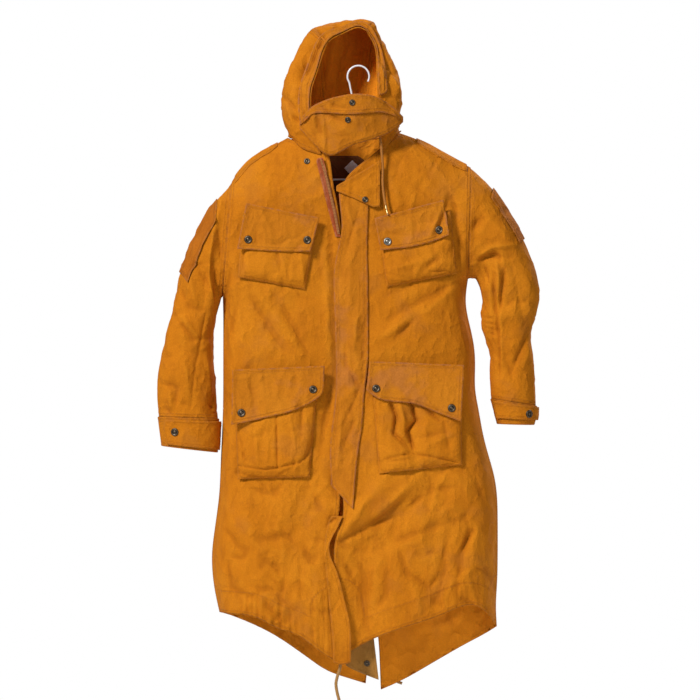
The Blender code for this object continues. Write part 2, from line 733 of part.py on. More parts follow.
CHEST_POCKETS = {
    "right": ((-244, -306), (-87, -334), (-113, -471), (-254, -445)),
    "left": ((40, -334), (192, -304), (206, -437), (58, -466)),
}
LOWER_POCKETS = {
    "right": ((-262, -660), (-84, -652), (-103, -864), (-254, -868)),
    "left": ((25, -640), (215, -650), (216, -838), (42, -856)),
}
CHEST_PUFF, LOWER_PUFF = 12 * MM, 17 * MM
bag_columns = [0, 0.05, 0.16, 0.32, 0.5, 0.68, 0.84, 0.95, 1]
lower_columns = [0, 0.04, 0.12, 0.22, 0.33, 0.42, 0.5, 0.58, 0.67, 0.78, 0.88, 0.96, 1]
chest_rows = [0, 0.2, 0.42, 0.64, 0.86, 0.95, 1]
lower_rows = [0, 0.14, 0.28, 0.43, 0.58, 0.72, 0.86, 0.94, 1]
PLEAT = {"right": (-172, 5, 3), "left": (114, 12, 13)}                      # reach, half width, depth
bags = {}
for side in ("right", "left"):
    places = quad_places(*CHEST_POCKETS[side], chest_rows, bag_columns)
    lift = bag_lift(chest_rows, bag_columns, CHEST_PUFF, 0.86)
    grid = lay(places, front_skin, 8 * MM, lift)
    bags["chest", side] = panel("chest_pocket_" + side, grid, CANVAS, (0, -1, 0))
    places = quad_places(*LOWER_POCKETS[side], lower_rows, lower_columns)
    lift = bag_lift(lower_rows, lower_columns, LOWER_PUFF, 0.86)
    reach, half_width, depth = PLEAT[side]
    for r, line in enumerate(places):
        for c, (x, z) in enumerate(line):
            crease = math.exp(-(((x / MM - reach) / half_width) ** 2))
            lift[r, c] -= min(depth * MM, 0.8 * lift[r, c]) * crease
    grid = lay(places, front_skin, 8 * MM, lift)
    bags["lower", side] = panel("lower_pocket_" + side, grid, CANVAS, (0, -1, 0))

# Each flap by its reach: the height of its top edge and of its bottom edge.
FLAPS = {
    ("chest", "right"): Table(
        "reach top bottom", (-246, -290, -385), (-200, -299, -388), (-150, -309, -391), (-93, -320, -391),
    ),
    ("chest", "left"): Table(
        "reach top bottom", (38, -321, -388), (90, -308, -383), (140, -294, -372), (182, -283, -356),
    ),
    ("lower", "right"): Table(
        "reach top bottom",
        (-267, -639, -754), (-218, -637, -744), (-173, -635, -733), (-145, -634, -727), (-81, -631, -696),
        (-74, -631, -689),
    ),
    ("lower", "left"): Table(
        "reach top bottom",
        (19, -622, -682), (25, -622, -694), (65, -623, -705), (114, -625, -708), (160, -627, -726),
        (217, -629, -747),
    ),
}
# How far a flap's top and bottom edges shift sideways.
SHEAR = {
    ("chest", "right"): (10, -9), ("chest", "left"): (-5, 7),
    ("lower", "right"): (2, 0), ("lower", "left"): (3, -3),
}
flaps = {}
for (level_name, side), table in FLAPS.items():
    skin = Skin(fronts["right"], fronts["left"], bags[level_name, side], placket)
    reaches = np.linspace(table.rows[0, 0], table.rows[-1, 0], 9)
    top_shift, bottom_shift = SHEAR[level_name, side]
    places = []
    for down in spread(6):
        line = []
        for reach in reaches:
            x = reach + between(top_shift, bottom_shift, down)
            z = between(table.at("top", reach), table.at("bottom", reach), down)
            line.append((x * MM, z * MM))
        places.append(line)
    grid = lay(places, skin, 9 * MM, passes=40)
    flaps[level_name, side] = panel(f"{level_name}_flap_{side}", grid, CANVAS, (0, -1, 0))

COLLAR_TAB = Table(
    "reach top bottom",
    (-47, -253, -264), (-20, -238, -275), (10, -221, -288), (28, -210, -297), (36, -203, -300),
    (44, -200, -296),
)
tab_reaches = np.linspace(-47, 44, 8)
places = [
    [(x * MM, between(COLLAR_TAB.at("top", x), COLLAR_TAB.at("bottom", x), down) * MM) for x in tab_reaches]
    for down in spread(5)
]
tab_skin = Skin(fronts["left"], fronts["right"], placket, zip_tape)
collar_tab = panel("collar_tab", lay(places, tab_skin, 8 * MM, 2 * MM, 30), CANVAS, (0, -1, 0))


# ---------------------------------------------------------------- neck patch and label, inside the back

NECK_PATCH = Table(
    "height left right",
    (-187, -62, -2), (-191, -74, 9), (-200, -83, 16), (-218, -86, 18), (-246, -86, 18), (-262, -84, 17),
)
patch_grid = lay(strip(NECK_PATCH, 8, spread(8)), Skin(back), 4 * MM)
neck_patch = panel("neck_patch", patch_grid, NECK_BROWN, (0, -1, 0), 1.2 * MM)
LABEL_CENTRE, LABEL_HALF = (-14, -213), 17
label_places = []
for down in spread(4):
    line = []
    for across in spread(4):
        x = LABEL_CENTRE[0] + LABEL_HALF * (across - down)
        z = LABEL_CENTRE[1] + LABEL_HALF * (1 - across - down)
        line.append((x * MM, z * MM))
    label_places.append(line)
label_grid = lay(label_places, Skin(back, neck_patch), 4 * MM)
panel("neck_label", label_grid, LABEL_GREY, (0, -1, 0), 1.0 * MM)


# ---------------------------------------------------------------- hood

# The hood as four arches, from the face edge to the nape. Each row is one place round the arch, from
# the wearer's right neck over the crown to the left neck.
HOOD = Table(
    "place edge_x edge_y edge_z full_x full_y full_z rear_x rear_y rear_z nape_x nape_y nape_z",
    (0, -82, -52, -186, -122, -41, -171, -143, -20, -150, -150, -3, -145),
    (1, -99, -67, -122, -157, -30, -112, -156, 18, -122, -141, 13, -147),
    (2, -103, -63, -58, -156, -14, -47, -150, 58, -72, -122, 23, -148),
    (3, -90, -46, -15, -132, 10, 20, -124, 94, -8, -96, 32, -149),
    (4, -68, -20, 50, -101, 36, 80, -84, 114, 44, -68, 37, -149),
    (5, -33, 5, 72, -40, 52, 96, -26, 122, 64, -35, 40, -149),
    (6, 6, 14, 86, 24, 46, 103, 14, 114, 48, -5, 39, -149),
    (7, 36, 3, 44, 46, 30, 64, 48, 94, 0, 25, 35, -148),
    (8, 39, -22, -10, 78, 5, 3, 74, 58, -58, 50, 26, -145),
    (9, 42, -44, -72, 86, -16, -60, 86, 18, -108, 73, 12, -141),
    (10, 46, -50, -186, 74, -30, -148, 84, -12, -139, 87, -3, -135),
)
HOOD_ARCHES = ("edge", "full", "rear", "nape")
ARCH_PLACES = (0.0, 0.36, 0.74, 1.0)


def hood_point(depth, place):
    """A point of the hood, in metres. Depth runs 0 to 1 from the face edge to the nape."""
    point = []
    for axis in "xyz":
        arches = [
            catmull(HOOD.rows[:, 0], HOOD.column(f"{arch}_{axis}"), np.array([place]))[0]
            for arch in HOOD_ARCHES
        ]
        point.append(catmull(np.array(ARCH_PLACES), np.array(arches), np.array([depth]))[0])
    return Vector(point) * MM


hood_depths = [0, 0.06, 0.13, 0.22, 0.32, 0.42, 0.53, 0.64, 0.75, 0.85, 0.94, 1]
STRIP_FROM, STRIP_TO = 4.0, 6.3
HOOD_PIECES = {
    "hood_right": spread(10, 0, STRIP_FROM),
    "hood_centre": spread(6, STRIP_FROM, STRIP_TO),
    "hood_left": spread(9, STRIP_TO, 10),
}
SEAM_TURN = 0.008
hoods = {}
for name, turns in HOOD_PIECES.items():
    turns = list(turns)
    sewn = [column for column in (0, len(turns) - 1) if 0 < turns[column] < 10]
    level = {}
    for column in sewn:
        for row, depth in enumerate(hood_depths):
            level[row, column] = hood_point(depth, turns[column] + 0.1) - hood_point(depth, turns[column] - 0.1)
        turns[column] += SEAM_TURN if column == 0 else -SEAM_TURN
    grid = [[hood_point(depth, turn) for turn in turns] for depth in hood_depths]
    middle = sum((p for row in grid for p in row), Vector()) / (len(grid) * len(turns))
    out = middle - Vector((-0.035, 0.0, -0.06))
    hoods[name] = panel(name, grid, CANVAS, tuple(out), level=level)
brim_turns = [0.9 + step * 8.0 / 22 for step in range(23)]
brim_grid = [[hood_point(depth, turn) for turn in brim_turns] for depth in (0.0, 0.065, 0.13)]
flat = [p for row in brim_grid for p in row]
brim_faces = grid_faces(3, len(brim_turns))
brim_normals = vertex_normals([tuple(p) for p in flat], brim_faces)
centre = np.array((-0.035, 0.03, 0.0))
if (brim_normals * (np.array([tuple(p) for p in flat]) - centre)).sum() < 0:
    brim_normals = -brim_normals
BRIM_OUT = 4.0 * MM
brim_points = [Vector(tuple(p)) + Vector(n) * BRIM_OUT for p, n in zip(flat, brim_normals)]
wall("hood_brim", brim_points, brim_faces, CANVAS, [tuple(n) for n in brim_normals])

THROAT = Table(
    "reach top seam bottom",
    (-125, -119, -124, -133), (-113, -100, -108, -146), (-98, -86, -96, -164), (-77, -77, -95, -184),
    (-61, -71, -97, -192), (-40, -66, -99, -184), (-14, -61, -99, -168), (19, -62, -97, -159),
    (45, -69, -93, -150), (72, -86, -98, -138), (93, -108, -112, -119),
)


def throat_point(x, z, forward):
    """The throat flap bends round the neck, and its lower edge hangs in towards the chest."""
    y = -98 + 0.0031 * (x + 22) ** 2 + 0.22 * max(0.0, -100 - z) - forward
    return Vector((x, y, z)) * MM


throat_reaches = [-125, -113, -98, -80, -61, -40, -14, 14, 42, 68, 93]
throat_lower = [
    [throat_point(x, between(THROAT.at("seam", x), THROAT.at("bottom", x), down), 0) for x in throat_reaches]
    for down in spread(6)
]
throat_flap = panel("throat_flap", throat_lower, CANVAS, (0, -1, 0))
UPPER_LAP, UPPER_OUT = 5, 3.2
throat_upper = []
for down in spread(4):
    heights = [between(THROAT.at("top", x), THROAT.at("seam", x) - UPPER_LAP, down) for x in throat_reaches]
    throat_upper.append([throat_point(x, z, UPPER_OUT) for x, z in zip(throat_reaches, heights)])
throat_flap_upper = panel("throat_flap_upper", throat_upper, CANVAS, (0, -1, 0))


# ---------------------------------------------------------------- epaulettes, on top of the shoulders

def top_of(pieces, x, y):
    """The highest z of some pieces at a place."""
    graph = bpy.context.evaluated_depsgraph_get()
    found = -9.0
    for piece in pieces:
        tree = BVHTree.FromObject(piece, graph)
        for dx in (-9 * MM, 0, 9 * MM):
            for dy in (-6 * MM, 0, 6 * MM):
                place = tree.ray_cast(Vector((x + dx, y + dy, 1.0)), Vector((0, 0, -1)))[0]
                if place is not None:
                    found = max(found, place.z)
    return found


EPAULETTE = {"right": (-262, -172), "left": (228, 122)}      # from the sleeve seam towards the neck
EPAULETTE_HALF = 21
EPAULETTE_CLEAR = 1.6 * MM
for side in ("right", "left"):
    from_x, to_x = EPAULETTE[side]
    grid = []
    for along in spread(7):
        half = EPAULETTE_HALF * (1 if along < 0.86 else 0.62)
        line = []
        for across in spread(5, -1, 1):
            x, y = between(from_x, to_x, along) * MM, half * across * MM
            line.append(Vector((x, y, top_of((fronts[side], back), x, y) + EPAULETTE_CLEAR + CLOTH)))
        grid.append(line)
    panel("epaulette_" + side, grid, CANVAS, (0, 0, 1))


# ---------------------------------------------------------------- snaps

SNAP_HALF = {"large": 8.4, "small": 6.5}
SNAP_HIGH = 3.0


def snap(name, x, z, pieces, size="large"):
    """A pressed cap: a low dome with a rolled edge, turned from a profile and set on the cloth."""
    skin = Skin(*pieces)
    x, z, half = x * MM, z * MM, SNAP_HALF[size] * MM
    hits = [skin.hit(x + half * dx, z + half * dz) for dx in (-0.8, 0, 0.8) for dz in (-0.8, 0, 0.8)]
    normal = sum((Vector(hit[1]) for hit in hits if hit), Vector()).normalized()
    place = Vector((x, skin.hit(x, z)[0], z))
    turn = normal.to_track_quat("Z", "Y").to_matrix()
    profile = [(0.0, 0.0), (0.96, 0.0), (1.0, 0.35), (0.86, 0.72), (0.6, 0.62), (0.0, 0.86)]
    points, faces, sides = [], [], 12
    for share, height in profile[1:-1]:
        for step in range(sides):
            angle = 2 * math.pi * step / sides
            reach = half * share
            points.append(Vector((reach * math.cos(angle), reach * math.sin(angle), height * SNAP_HIGH * MM)))
    points += [Vector((0, 0, 0)), Vector((0, 0, profile[-1][1] * SNAP_HIGH * MM))]
    foot, crown = len(points) - 2, len(points) - 1
    for ring in range(3):
        for step in range(sides):
            ahead = (step + 1) % sides
            low, high = ring * sides, (ring + 1) * sides
            faces.append((low + step, low + ahead, high + ahead, high + step))
    for step in range(sides):
        ahead = (step + 1) % sides
        faces.append((foot, ahead, step))
        faces.append((crown, 3 * sides + step, 3 * sides + ahead))
    placed = [place + turn @ point for point in points]
    sunk = 0.0
    for point in placed[:sides] + [place + (point - place) / 2 for point in placed[:sides]] + [placed[foot]]:
        under = skin.hit(point.x, point.z)
        if under:
            sunk = max(sunk, (point.y - under[0]) * abs(normal.y))
    lift = normal * (sunk + 0.35 * MM)
    return add_mesh(name, [point + lift for point in placed], faces, SNAP_METAL)


snap("snap_throat_upper", -14, -80, [throat_flap_upper], "small")
snap("snap_throat_lower", -23, -116, [throat_flap], "small")
snap("snap_neck", -109, -201, [fronts["right"]], "small")
snap("snap_collar_tab", 13, -282, [collar_tab], "small")
snap("snap_chest_right_outer", -232, -366, [flaps["chest", "right"]])
snap("snap_chest_right_inner", -108, -367, [flaps["chest", "right"]])
snap("snap_chest_left_inner", 60, -370, [flaps["chest", "left"]])
snap("snap_chest_left_outer", 168, -346, [flaps["chest", "left"]])
snap("snap_lower_right_outer", -246, -729, [flaps["lower", "right"]])
snap("snap_lower_right_inner", -96, -680, [flaps["lower", "right"]])
snap("snap_lower_left_inner", 36, -678, [flaps["lower", "left"]])
snap("snap_lower_left_outer", 194, -719, [flaps["lower", "left"]])
snap("snap_cuff_right", -387, -770, [tabs["right"]])
snap("snap_cuff_left", 358, -732, [tabs["left"]])
snap("snap_hem", 17, -1255, [underlap], "small")


# ---------------------------------------------------------------- drawcords

HOOD_CORD_WIDTH, CORD_END_WIDTH, HEM_CORD_WIDTH = 5.2, 4.6, 6.5
# Each knot of a cord's route: reach, out and height.
HOOD_CORD = [
    (44, -62, -152), (46, -62, -164), (48, -62, -185), (50, -63, -215), (50, -67, -250), (53, -70, -278),
    (56, -72, -294),
]
CORD_END = [(56.3, -72.6, -294.8), (58, -75.5, -304), (60.5, -80, -314)]
HEM_CORD = [
    (-38, -93, -1236), (-38, -94, -1248), (-40, -95, -1264), (-45, -95, -1280), (-48, -95, -1295),
    (-46, -95, -1312), (-41, -95, -1332), (-37, -95, -1350), (-36, -95, -1364),
]
TAIL_CORD = [(58, 92, -1268), (64, 93, -1280), (72, 94, -1292), (80, 94, -1301), (92, 93, -1306)]
KNOT_PLACE, KNOT_HALF = (-36, -95, -1371.5), 6.5


def cord(name, knots, count, width, material):
    tube(name, curve_through(np.array(knots) * MM, count), width * MM, material)


cord("hood_cord", HOOD_CORD, 14, HOOD_CORD_WIDTH, CANVAS)
cord("hood_cord_end", CORD_END, 3, CORD_END_WIDTH, TIP_METAL)
cord("hem_cord", HEM_CORD, 12, HEM_CORD_WIDTH, FACING)
cord("tail_cord", TAIL_CORD, 6, HEM_CORD_WIDTH, FACING)
knot_mesh = bmesh.new()
bmesh.ops.create_icosphere(knot_mesh, subdivisions=2, radius=KNOT_HALF * MM)
knot_points = [Vector(KNOT_PLACE) * MM + vert.co for vert in knot_mesh.verts]
knot_faces = [tuple(vert.index for vert in face.verts) for face in knot_mesh.faces]
knot_mesh.free()
add_mesh("hem_cord_knot", knot_points, knot_faces, FACING)


# ---------------------------------------------------------------- wire hanger

WIRE = 4.0
HOOK_TURN = 23.0                     # radius of the hook's middle line
ARM_END_HEIGHT, BAR_HEIGHT = -196, -238
END_TURN, END_RISE = 16, 19          # half sizes of the loop at each end
END_CENTRE = {"right": -198, "left": 174}
END_MIDDLE = -219


def arc(centre, half_width, half_height, angles):
    """Points of an arc in the plane seen from the front."""
    turns = [math.radians(angle) for angle in angles]
    return [(centre[0] + half_width * math.cos(t), 0, centre[1] + half_height * math.sin(t)) for t in turns]


wire_route = (
    arc((-1.0, WIRE / 2 - HOOK_TURN), HOOK_TURN, HOOK_TURN, range(-28, 215, 22))
    + [(-18, 0, -44), (-15, 0, -58), (-12, 0, -72), (-11, 0, -88), (-11, 0, -100)]
    + [(-2, 0, -108), (60, 0, -139), (125, 0, -171), (172, 0, ARM_END_HEIGHT + 2)]
    + arc((END_CENTRE["left"], END_MIDDLE), END_TURN, END_RISE, (60, 20, -20, -60))
    + [(reach, 0, BAR_HEIGHT) for reach in (140, 60, -20, -100, -165)]
    + arc((END_CENTRE["right"], END_MIDDLE), -END_TURN, END_RISE, (-60, -20, 20, 60))
    + [(-196, 0, ARM_END_HEIGHT + 1), (-150, 0, -174), (-85, 0, -142), (-26, 0, -113)]
)
cord("hanger", wire_route, 84, WIRE, WHITE_WIRE)
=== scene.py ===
"""A long canvas field parka on a coated wire hanger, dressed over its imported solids.

X runs to the wearer's left, Y to the back and Z up, from the inside of the hanger's hook.
Sizes are in millimetres where a name says so, and in metres elsewhere.
"""

import math

import bmesh
import bpy
import numpy as np
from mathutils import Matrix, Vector, kdtree, noise
from mathutils.bvhtree import BVHTree


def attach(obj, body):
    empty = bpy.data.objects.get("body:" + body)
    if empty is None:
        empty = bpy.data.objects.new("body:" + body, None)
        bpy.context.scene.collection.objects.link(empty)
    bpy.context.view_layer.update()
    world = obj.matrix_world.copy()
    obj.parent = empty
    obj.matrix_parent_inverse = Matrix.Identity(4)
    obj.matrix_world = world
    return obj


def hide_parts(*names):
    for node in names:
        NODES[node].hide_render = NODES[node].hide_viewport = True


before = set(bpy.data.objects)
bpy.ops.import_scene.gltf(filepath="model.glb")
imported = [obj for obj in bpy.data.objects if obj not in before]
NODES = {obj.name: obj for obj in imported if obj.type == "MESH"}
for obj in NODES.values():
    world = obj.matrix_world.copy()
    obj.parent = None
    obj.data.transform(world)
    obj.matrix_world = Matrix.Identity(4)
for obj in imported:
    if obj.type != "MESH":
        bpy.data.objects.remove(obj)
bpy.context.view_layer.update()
MM = 0.001


# ---- Where it hangs ------------------------------------------------------------------------------
# A pale floor under the tails, an even white room, and a soft lamp high on the left.
# The camera looks straight at the front from far away, so that near and far cloth keep one scale.

CAMERA_AWAY = 12.0
FRAME_WIDE = 1.47
FRAME_REACH, FRAME_HEIGHT = -0.0187, -0.5975    # where the camera looks at the coat's front
AIR_LIGHT = 0.27              # the room's light on the cloth, while the camera sees it plain white
FLOOR_HEIGHT = -1.46


def put(name, data):
    """A new object in the scene."""
    thing = bpy.data.objects.new(name, data)
    bpy.context.scene.collection.objects.link(thing)
    return thing


def fill(node, sockets):
    """Gives each named socket of a node its value, or a link from another node."""
    for name, value in sockets.items():
        if isinstance(value, bpy.types.NodeSocket):
            node.id_data.links.new(value, node.inputs[name])
        else:
            node.inputs[name].default_value = value


def add(tree, kind, sockets=(), **settings):
    """A new node in a tree, with its settings made and its sockets filled."""
    node = tree.nodes.new(kind)
    for name, value in settings.items():
        setattr(node, name, value)
    fill(node, dict(sockets))
    return node


def new_look(name):
    """A new material, its tree and its shader."""
    look = bpy.data.materials.new(name)
    look.use_nodes = True
    return look, look.node_tree, look.node_tree.nodes["Principled BSDF"]


camera_data = bpy.data.cameras.new("camera")
camera_data.lens = camera_data.sensor_width * CAMERA_AWAY / FRAME_WIDE
camera_data.clip_end = 60
camera = put("camera", camera_data)
camera.location = (FRAME_REACH, -CAMERA_AWAY - 0.05, FRAME_HEIGHT)
camera.rotation_euler = (math.pi / 2, 0, 0)
bpy.context.scene.camera = camera
bpy.context.scene.view_settings.view_transform = "Standard"

for lamp_name, power, size, place, aim_height in (
    ("window", 560, 1.3, (-3.7, -4.1, 3.5), -0.6),
    ("fill", 42, 2.4, (2.4, -4.2, -0.9), -0.7),
    ("rear", 380, 1.6, (3.2, 4.3, 3.4), -0.6),
):
    lamp_data = bpy.data.lights.new(lamp_name, "AREA")
    lamp_data.energy = power
    lamp_data.size = size
    lamp = put(lamp_name, lamp_data)
    lamp.location = place
    lamp.rotation_euler = (Vector((0, 0, aim_height)) - Vector(place)).to_track_quat("-Z", "Y").to_euler()

room = bpy.data.worlds.new("white_room")
room.use_nodes = True
seen = add(room.node_tree, "ShaderNodeLightPath").outputs["Is Camera Ray"]
strength = add(room.node_tree, "ShaderNodeMapRange", {"Value": seen, "To Min": AIR_LIGHT, "To Max": 1.0})
fill(room.node_tree.nodes["Background"], {"Color": (1, 1, 1, 1), "Strength": strength.outputs["Result"]})
bpy.context.scene.world = room

floor_mesh = bmesh.new()
bmesh.ops.create_circle(floor_mesh, cap_ends=True, segments=96, radius=1.5)
bmesh.ops.translate(floor_mesh, verts=floor_mesh.verts, vec=(0, 0, FLOOR_HEIGHT))
floor_data = bpy.data.meshes.new("floor")
floor_mesh.to_mesh(floor_data)
floor_mesh.free()
floor = put("floor", floor_data)
floor_look, _, floor_shader = new_look("pale_floor")
fill(floor_shader, {"Base Color": (0.8, 0.8, 0.8, 1), "Roughness": 0.7})
floor_data.materials.append(floor_look)


# ---- Drawcords -----------------------------------------------------------------------------------
# Round braided cotton cord: one hangs from the hood's channel and ends in a crimped brass tip, one
# from the hem's channel and ends in a knot, and a short end shows at the tail.

CORD_SIDES = 24
BRAID_TURN_MM = 11            # length of one turn of a strand


def smooth_route(knots, step):
    """Evenly spaced points on a smooth curve through the knots, in metres."""
    knots = np.array(knots, float) * MM
    places = np.concatenate([[0], np.cumsum(np.linalg.norm(np.diff(knots, axis=0), axis=1))])
    fine = np.linspace(0, places[-1], 600)
    path = []
    for axis in range(3):
        values = knots[:, axis]
        slope = np.gradient(values, places)
        row = np.clip(np.searchsorted(places, fine, side="right") - 1, 0, len(places) - 2)
        gap = places[row + 1] - places[row]
        t = (fine - places[row]) / gap
        path.append(
            (2 * t**3 - 3 * t**2 + 1) * values[row] + (t**3 - 2 * t**2 + t) * gap * slope[row]
            + (3 * t**2 - 2 * t**3) * values[row + 1] + (t**3 - t**2) * gap * slope[row + 1]
        )
    path = np.stack(path, axis=1)
    run = np.concatenate([[0], np.cumsum(np.linalg.norm(np.diff(path, axis=0), axis=1))])
    even = np.linspace(0, run[-1], max(3, int(run[-1] / (step * MM)) + 1))
    return np.stack([np.interp(even, run, path[:, axis]) for axis in range(3)], axis=1)


def rod_mesh(name, route, radius, sides, strands=0, strand_depth=0.0):
    """A closed round rod along a route, of one radius or a list. With strands, it is grooved like a braid."""
    radii = np.broadcast_to(radius, len(route))
    mesh = bmesh.new()
    ahead = np.gradient(route, axis=0)
    ahead /= np.linalg.norm(ahead, axis=1)[:, None]
    side = np.cross(ahead[0], (0.3, 1.0, 0.2))
    run = 0.0
    rings, layer = [], mesh.loops.layers.uv.new("weave")
    for index, place in enumerate(route):
        side = side - ahead[index] * side.dot(ahead[index])
        side /= np.linalg.norm(side)
        up = np.cross(ahead[index], side)
        if index:
            run += float(np.linalg.norm(place - route[index - 1]))
        phase = 2 * math.pi * run / (BRAID_TURN_MM * MM)
        ring = []
        for step in range(sides):
            turn = 2 * math.pi * step / sides
            crossing = strands / 2 * turn
            groove = strand_depth * (abs(math.sin(crossing + phase)) + abs(math.sin(crossing - phase)) - 1.2)
            reach = radii[index] * (1 + groove)
            ring.append(mesh.verts.new(place + reach * (math.cos(turn) * side + math.sin(turn) * up)))
        rings.append((ring, run))
    girth = 2 * math.pi * radii[0] / sides
    for (low, low_run), (high, high_run) in zip(rings, rings[1:]):
        for step in range(sides):
            ahead_step = (step + 1) % sides
            face = mesh.faces.new((low[step], low[ahead_step], high[ahead_step], high[step]))
            corners = ((step, low_run), (step + 1, low_run), (step + 1, high_run), (step, high_run))
            for loop, (across, along) in zip(face.loops, corners):
                loop[layer].uv = (across * girth, along)
    mesh.faces.new(list(reversed(rings[0][0])))
    mesh.faces.new(rings[-1][0])
    bmesh.ops.recalc_face_normals(mesh, faces=mesh.faces)
    data = bpy.data.meshes.new(name)
    mesh.to_mesh(data)
    mesh.free()
    data.shade_smooth()
    return put(name, data)


def plain_look(name, colour, roughness, metallic=0.0, speckle=0.12, grain=900.0, bump=0.15):
    """A finish with fine mottling of its colour and a fine grain."""
    look, tree, shader = new_look(name)
    place = add(tree, "ShaderNodeTexCoord").outputs["Object"]
    mottle = add(tree, "ShaderNodeTexNoise", {"Vector": place, "Scale": grain / 4, "Detail": 4})
    dark = [channel * (1 - 2.2 * speckle) for channel in colour]
    light = [min(1.0, channel * (1 + speckle)) for channel in colour]
    tint = add(
        tree, "ShaderNodeMix", {"Factor": mottle.outputs["Fac"], "A": (*dark, 1), "B": (*light, 1)},
        data_type="RGBA",
    )
    fine = add(tree, "ShaderNodeTexNoise", {"Vector": place, "Scale": grain}).outputs["Fac"]
    relief = add(tree, "ShaderNodeBump", {"Strength": bump, "Distance": 0.4 * MM, "Height": fine})
    fill(shader, {
        "Base Color": tint.outputs["Result"], "Normal": relief.outputs["Normal"], "Roughness": roughness,
        "Metallic": metallic,
    })
    return look


def wear(thing, look, slot, *nodes):
    """Gives a piece its finish, hangs it on the root body, and hides the solids it stands for."""
    thing.data.materials.clear()
    thing.data.materials.append(look)
    return belong(thing, slot, *nodes)


def belong(thing, slot, *nodes):
    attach(thing, "root")
    for node in nodes:
        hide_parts(node)
    return thing


HOOD_CORD_MM = [
    (44, -62, -152), (46, -62, -164), (48, -62, -185), (50, -63, -215), (50, -67, -250), (53, -70, -278),
    (56, -72, -294),
]
CORD_END_MM = [(56.3, -72.6, -294.8), (58, -75.5, -304), (60.5, -80, -314)]
HEM_CORD_MM = [
    (-38, -93, -1236), (-38, -94, -1248), (-40, -95, -1264), (-45, -95, -1280), (-48, -95, -1295),
    (-46, -95, -1312), (-41, -95, -1332), (-37, -95, -1350), (-36, -95, -1364),
]
TAIL_CORD_MM = [(58, 92, -1268), (64, 93, -1280), (72, 94, -1292), (80, 94, -1301), (92, 93, -1306)]
HEM_KNOT_MM = (-36, -95, -1371.5)

cord_look = plain_look("mustard_cord", (0.38, 0.135, 0.012), 0.85, speckle=0.25, grain=1600)
hem_cord_look = plain_look("olive_cord", (0.36, 0.18, 0.045), 0.85, speckle=0.25, grain=1600)
brass_look = plain_look("brass_tip", (0.50, 0.34, 0.15), 0.38, metallic=1.0, speckle=0.1, grain=300)

braids, cord_routes = {}, {}
for node, knots_mm, wide_mm, look in (
    ("hood_cord", HOOD_CORD_MM, 5.0, cord_look),
    ("hem_cord", HEM_CORD_MM, 6.3, hem_cord_look),
    ("tail_cord", TAIL_CORD_MM, 6.3, hem_cord_look),
):
    route = smooth_route(knots_mm, 0.9)
    cord_routes[node] = [tuple(float(n) for n in place) for place in route[::4]]
    cord_routes[node][-1] = tuple(float(n) for n in route[-1])
    braids[node] = rod_mesh(
        "braided_" + node, route, wide_mm / 2 * MM, CORD_SIDES, strands=8, strand_depth=0.09,
    )
    wear(braids[node], look, "cord", node)

# The crimped tip: a wide sleeve, a waist, a second sleeve and a narrow end, each up to its share.
tip_route = smooth_route(CORD_END_MM, 0.8)
TIP_RADII_MM = ((0.42, 2.5), (0.5, 1.75), (0.92, 2.15), (1.1, 1.7))
tip_radii = [
    next(radius for end, radius in TIP_RADII_MM if share < end) * MM
    for share in np.linspace(0, 1, len(tip_route))
]
cord_tip = rod_mesh("crimped_cord_tip", tip_route, tip_radii, 20)
wear(cord_tip, brass_look, "cord_end", "hood_cord_end")

# The knot: one turn of the same cord pulled tight on itself.
knot_turns = []
for step in range(46):
    turn = 2 * math.pi * step / 45
    bow = 3.1 + 1.1 * math.cos(3 * turn)
    knot_turns.append((
        HEM_KNOT_MM[0] + bow * math.cos(2 * turn), HEM_KNOT_MM[1] + bow * math.sin(2 * turn) * 0.9,
        HEM_KNOT_MM[2] + 3.2 * math.sin(3 * turn) - 0.5,
    ))
hem_knot = rod_mesh("cord_knot", np.array(knot_turns) * MM, 2.3 * MM, 10)
wear(hem_knot, hem_cord_look, "cord", "hem_cord_knot")


# ---- The body: two fronts and the back -----------------------------------------------------------
# Heavy cotton canvas, garment-dyed mustard and washed until it crumpled. The fronts and the back are
# sewn at the shoulders and sides with two rows of stitching, and a cord channel runs along the hem.

WELD = 0.02 * MM
CANVAS_THICK = 1.8 * MM
FRONT, BACK = (0, -1, 0), (0, 1, 0)
BODY_EDGE_FADE = 16 * MM      # a panel moves less than this near the seams it is sewn to


def values_of(rows, name, wide=1, kind=float):
    """One value, or a row of them, for each item in a mesh's list."""
    found = np.zeros(len(rows) * wide, kind)
    rows.foreach_get(name, found)
    return found.reshape(-1, wide) if wide > 1 else found


def made_of(thing):
    """The mesh that an object's modifiers make."""
    return bpy.data.meshes.new_from_object(thing.evaluated_get(bpy.context.evaluated_depsgraph_get()))


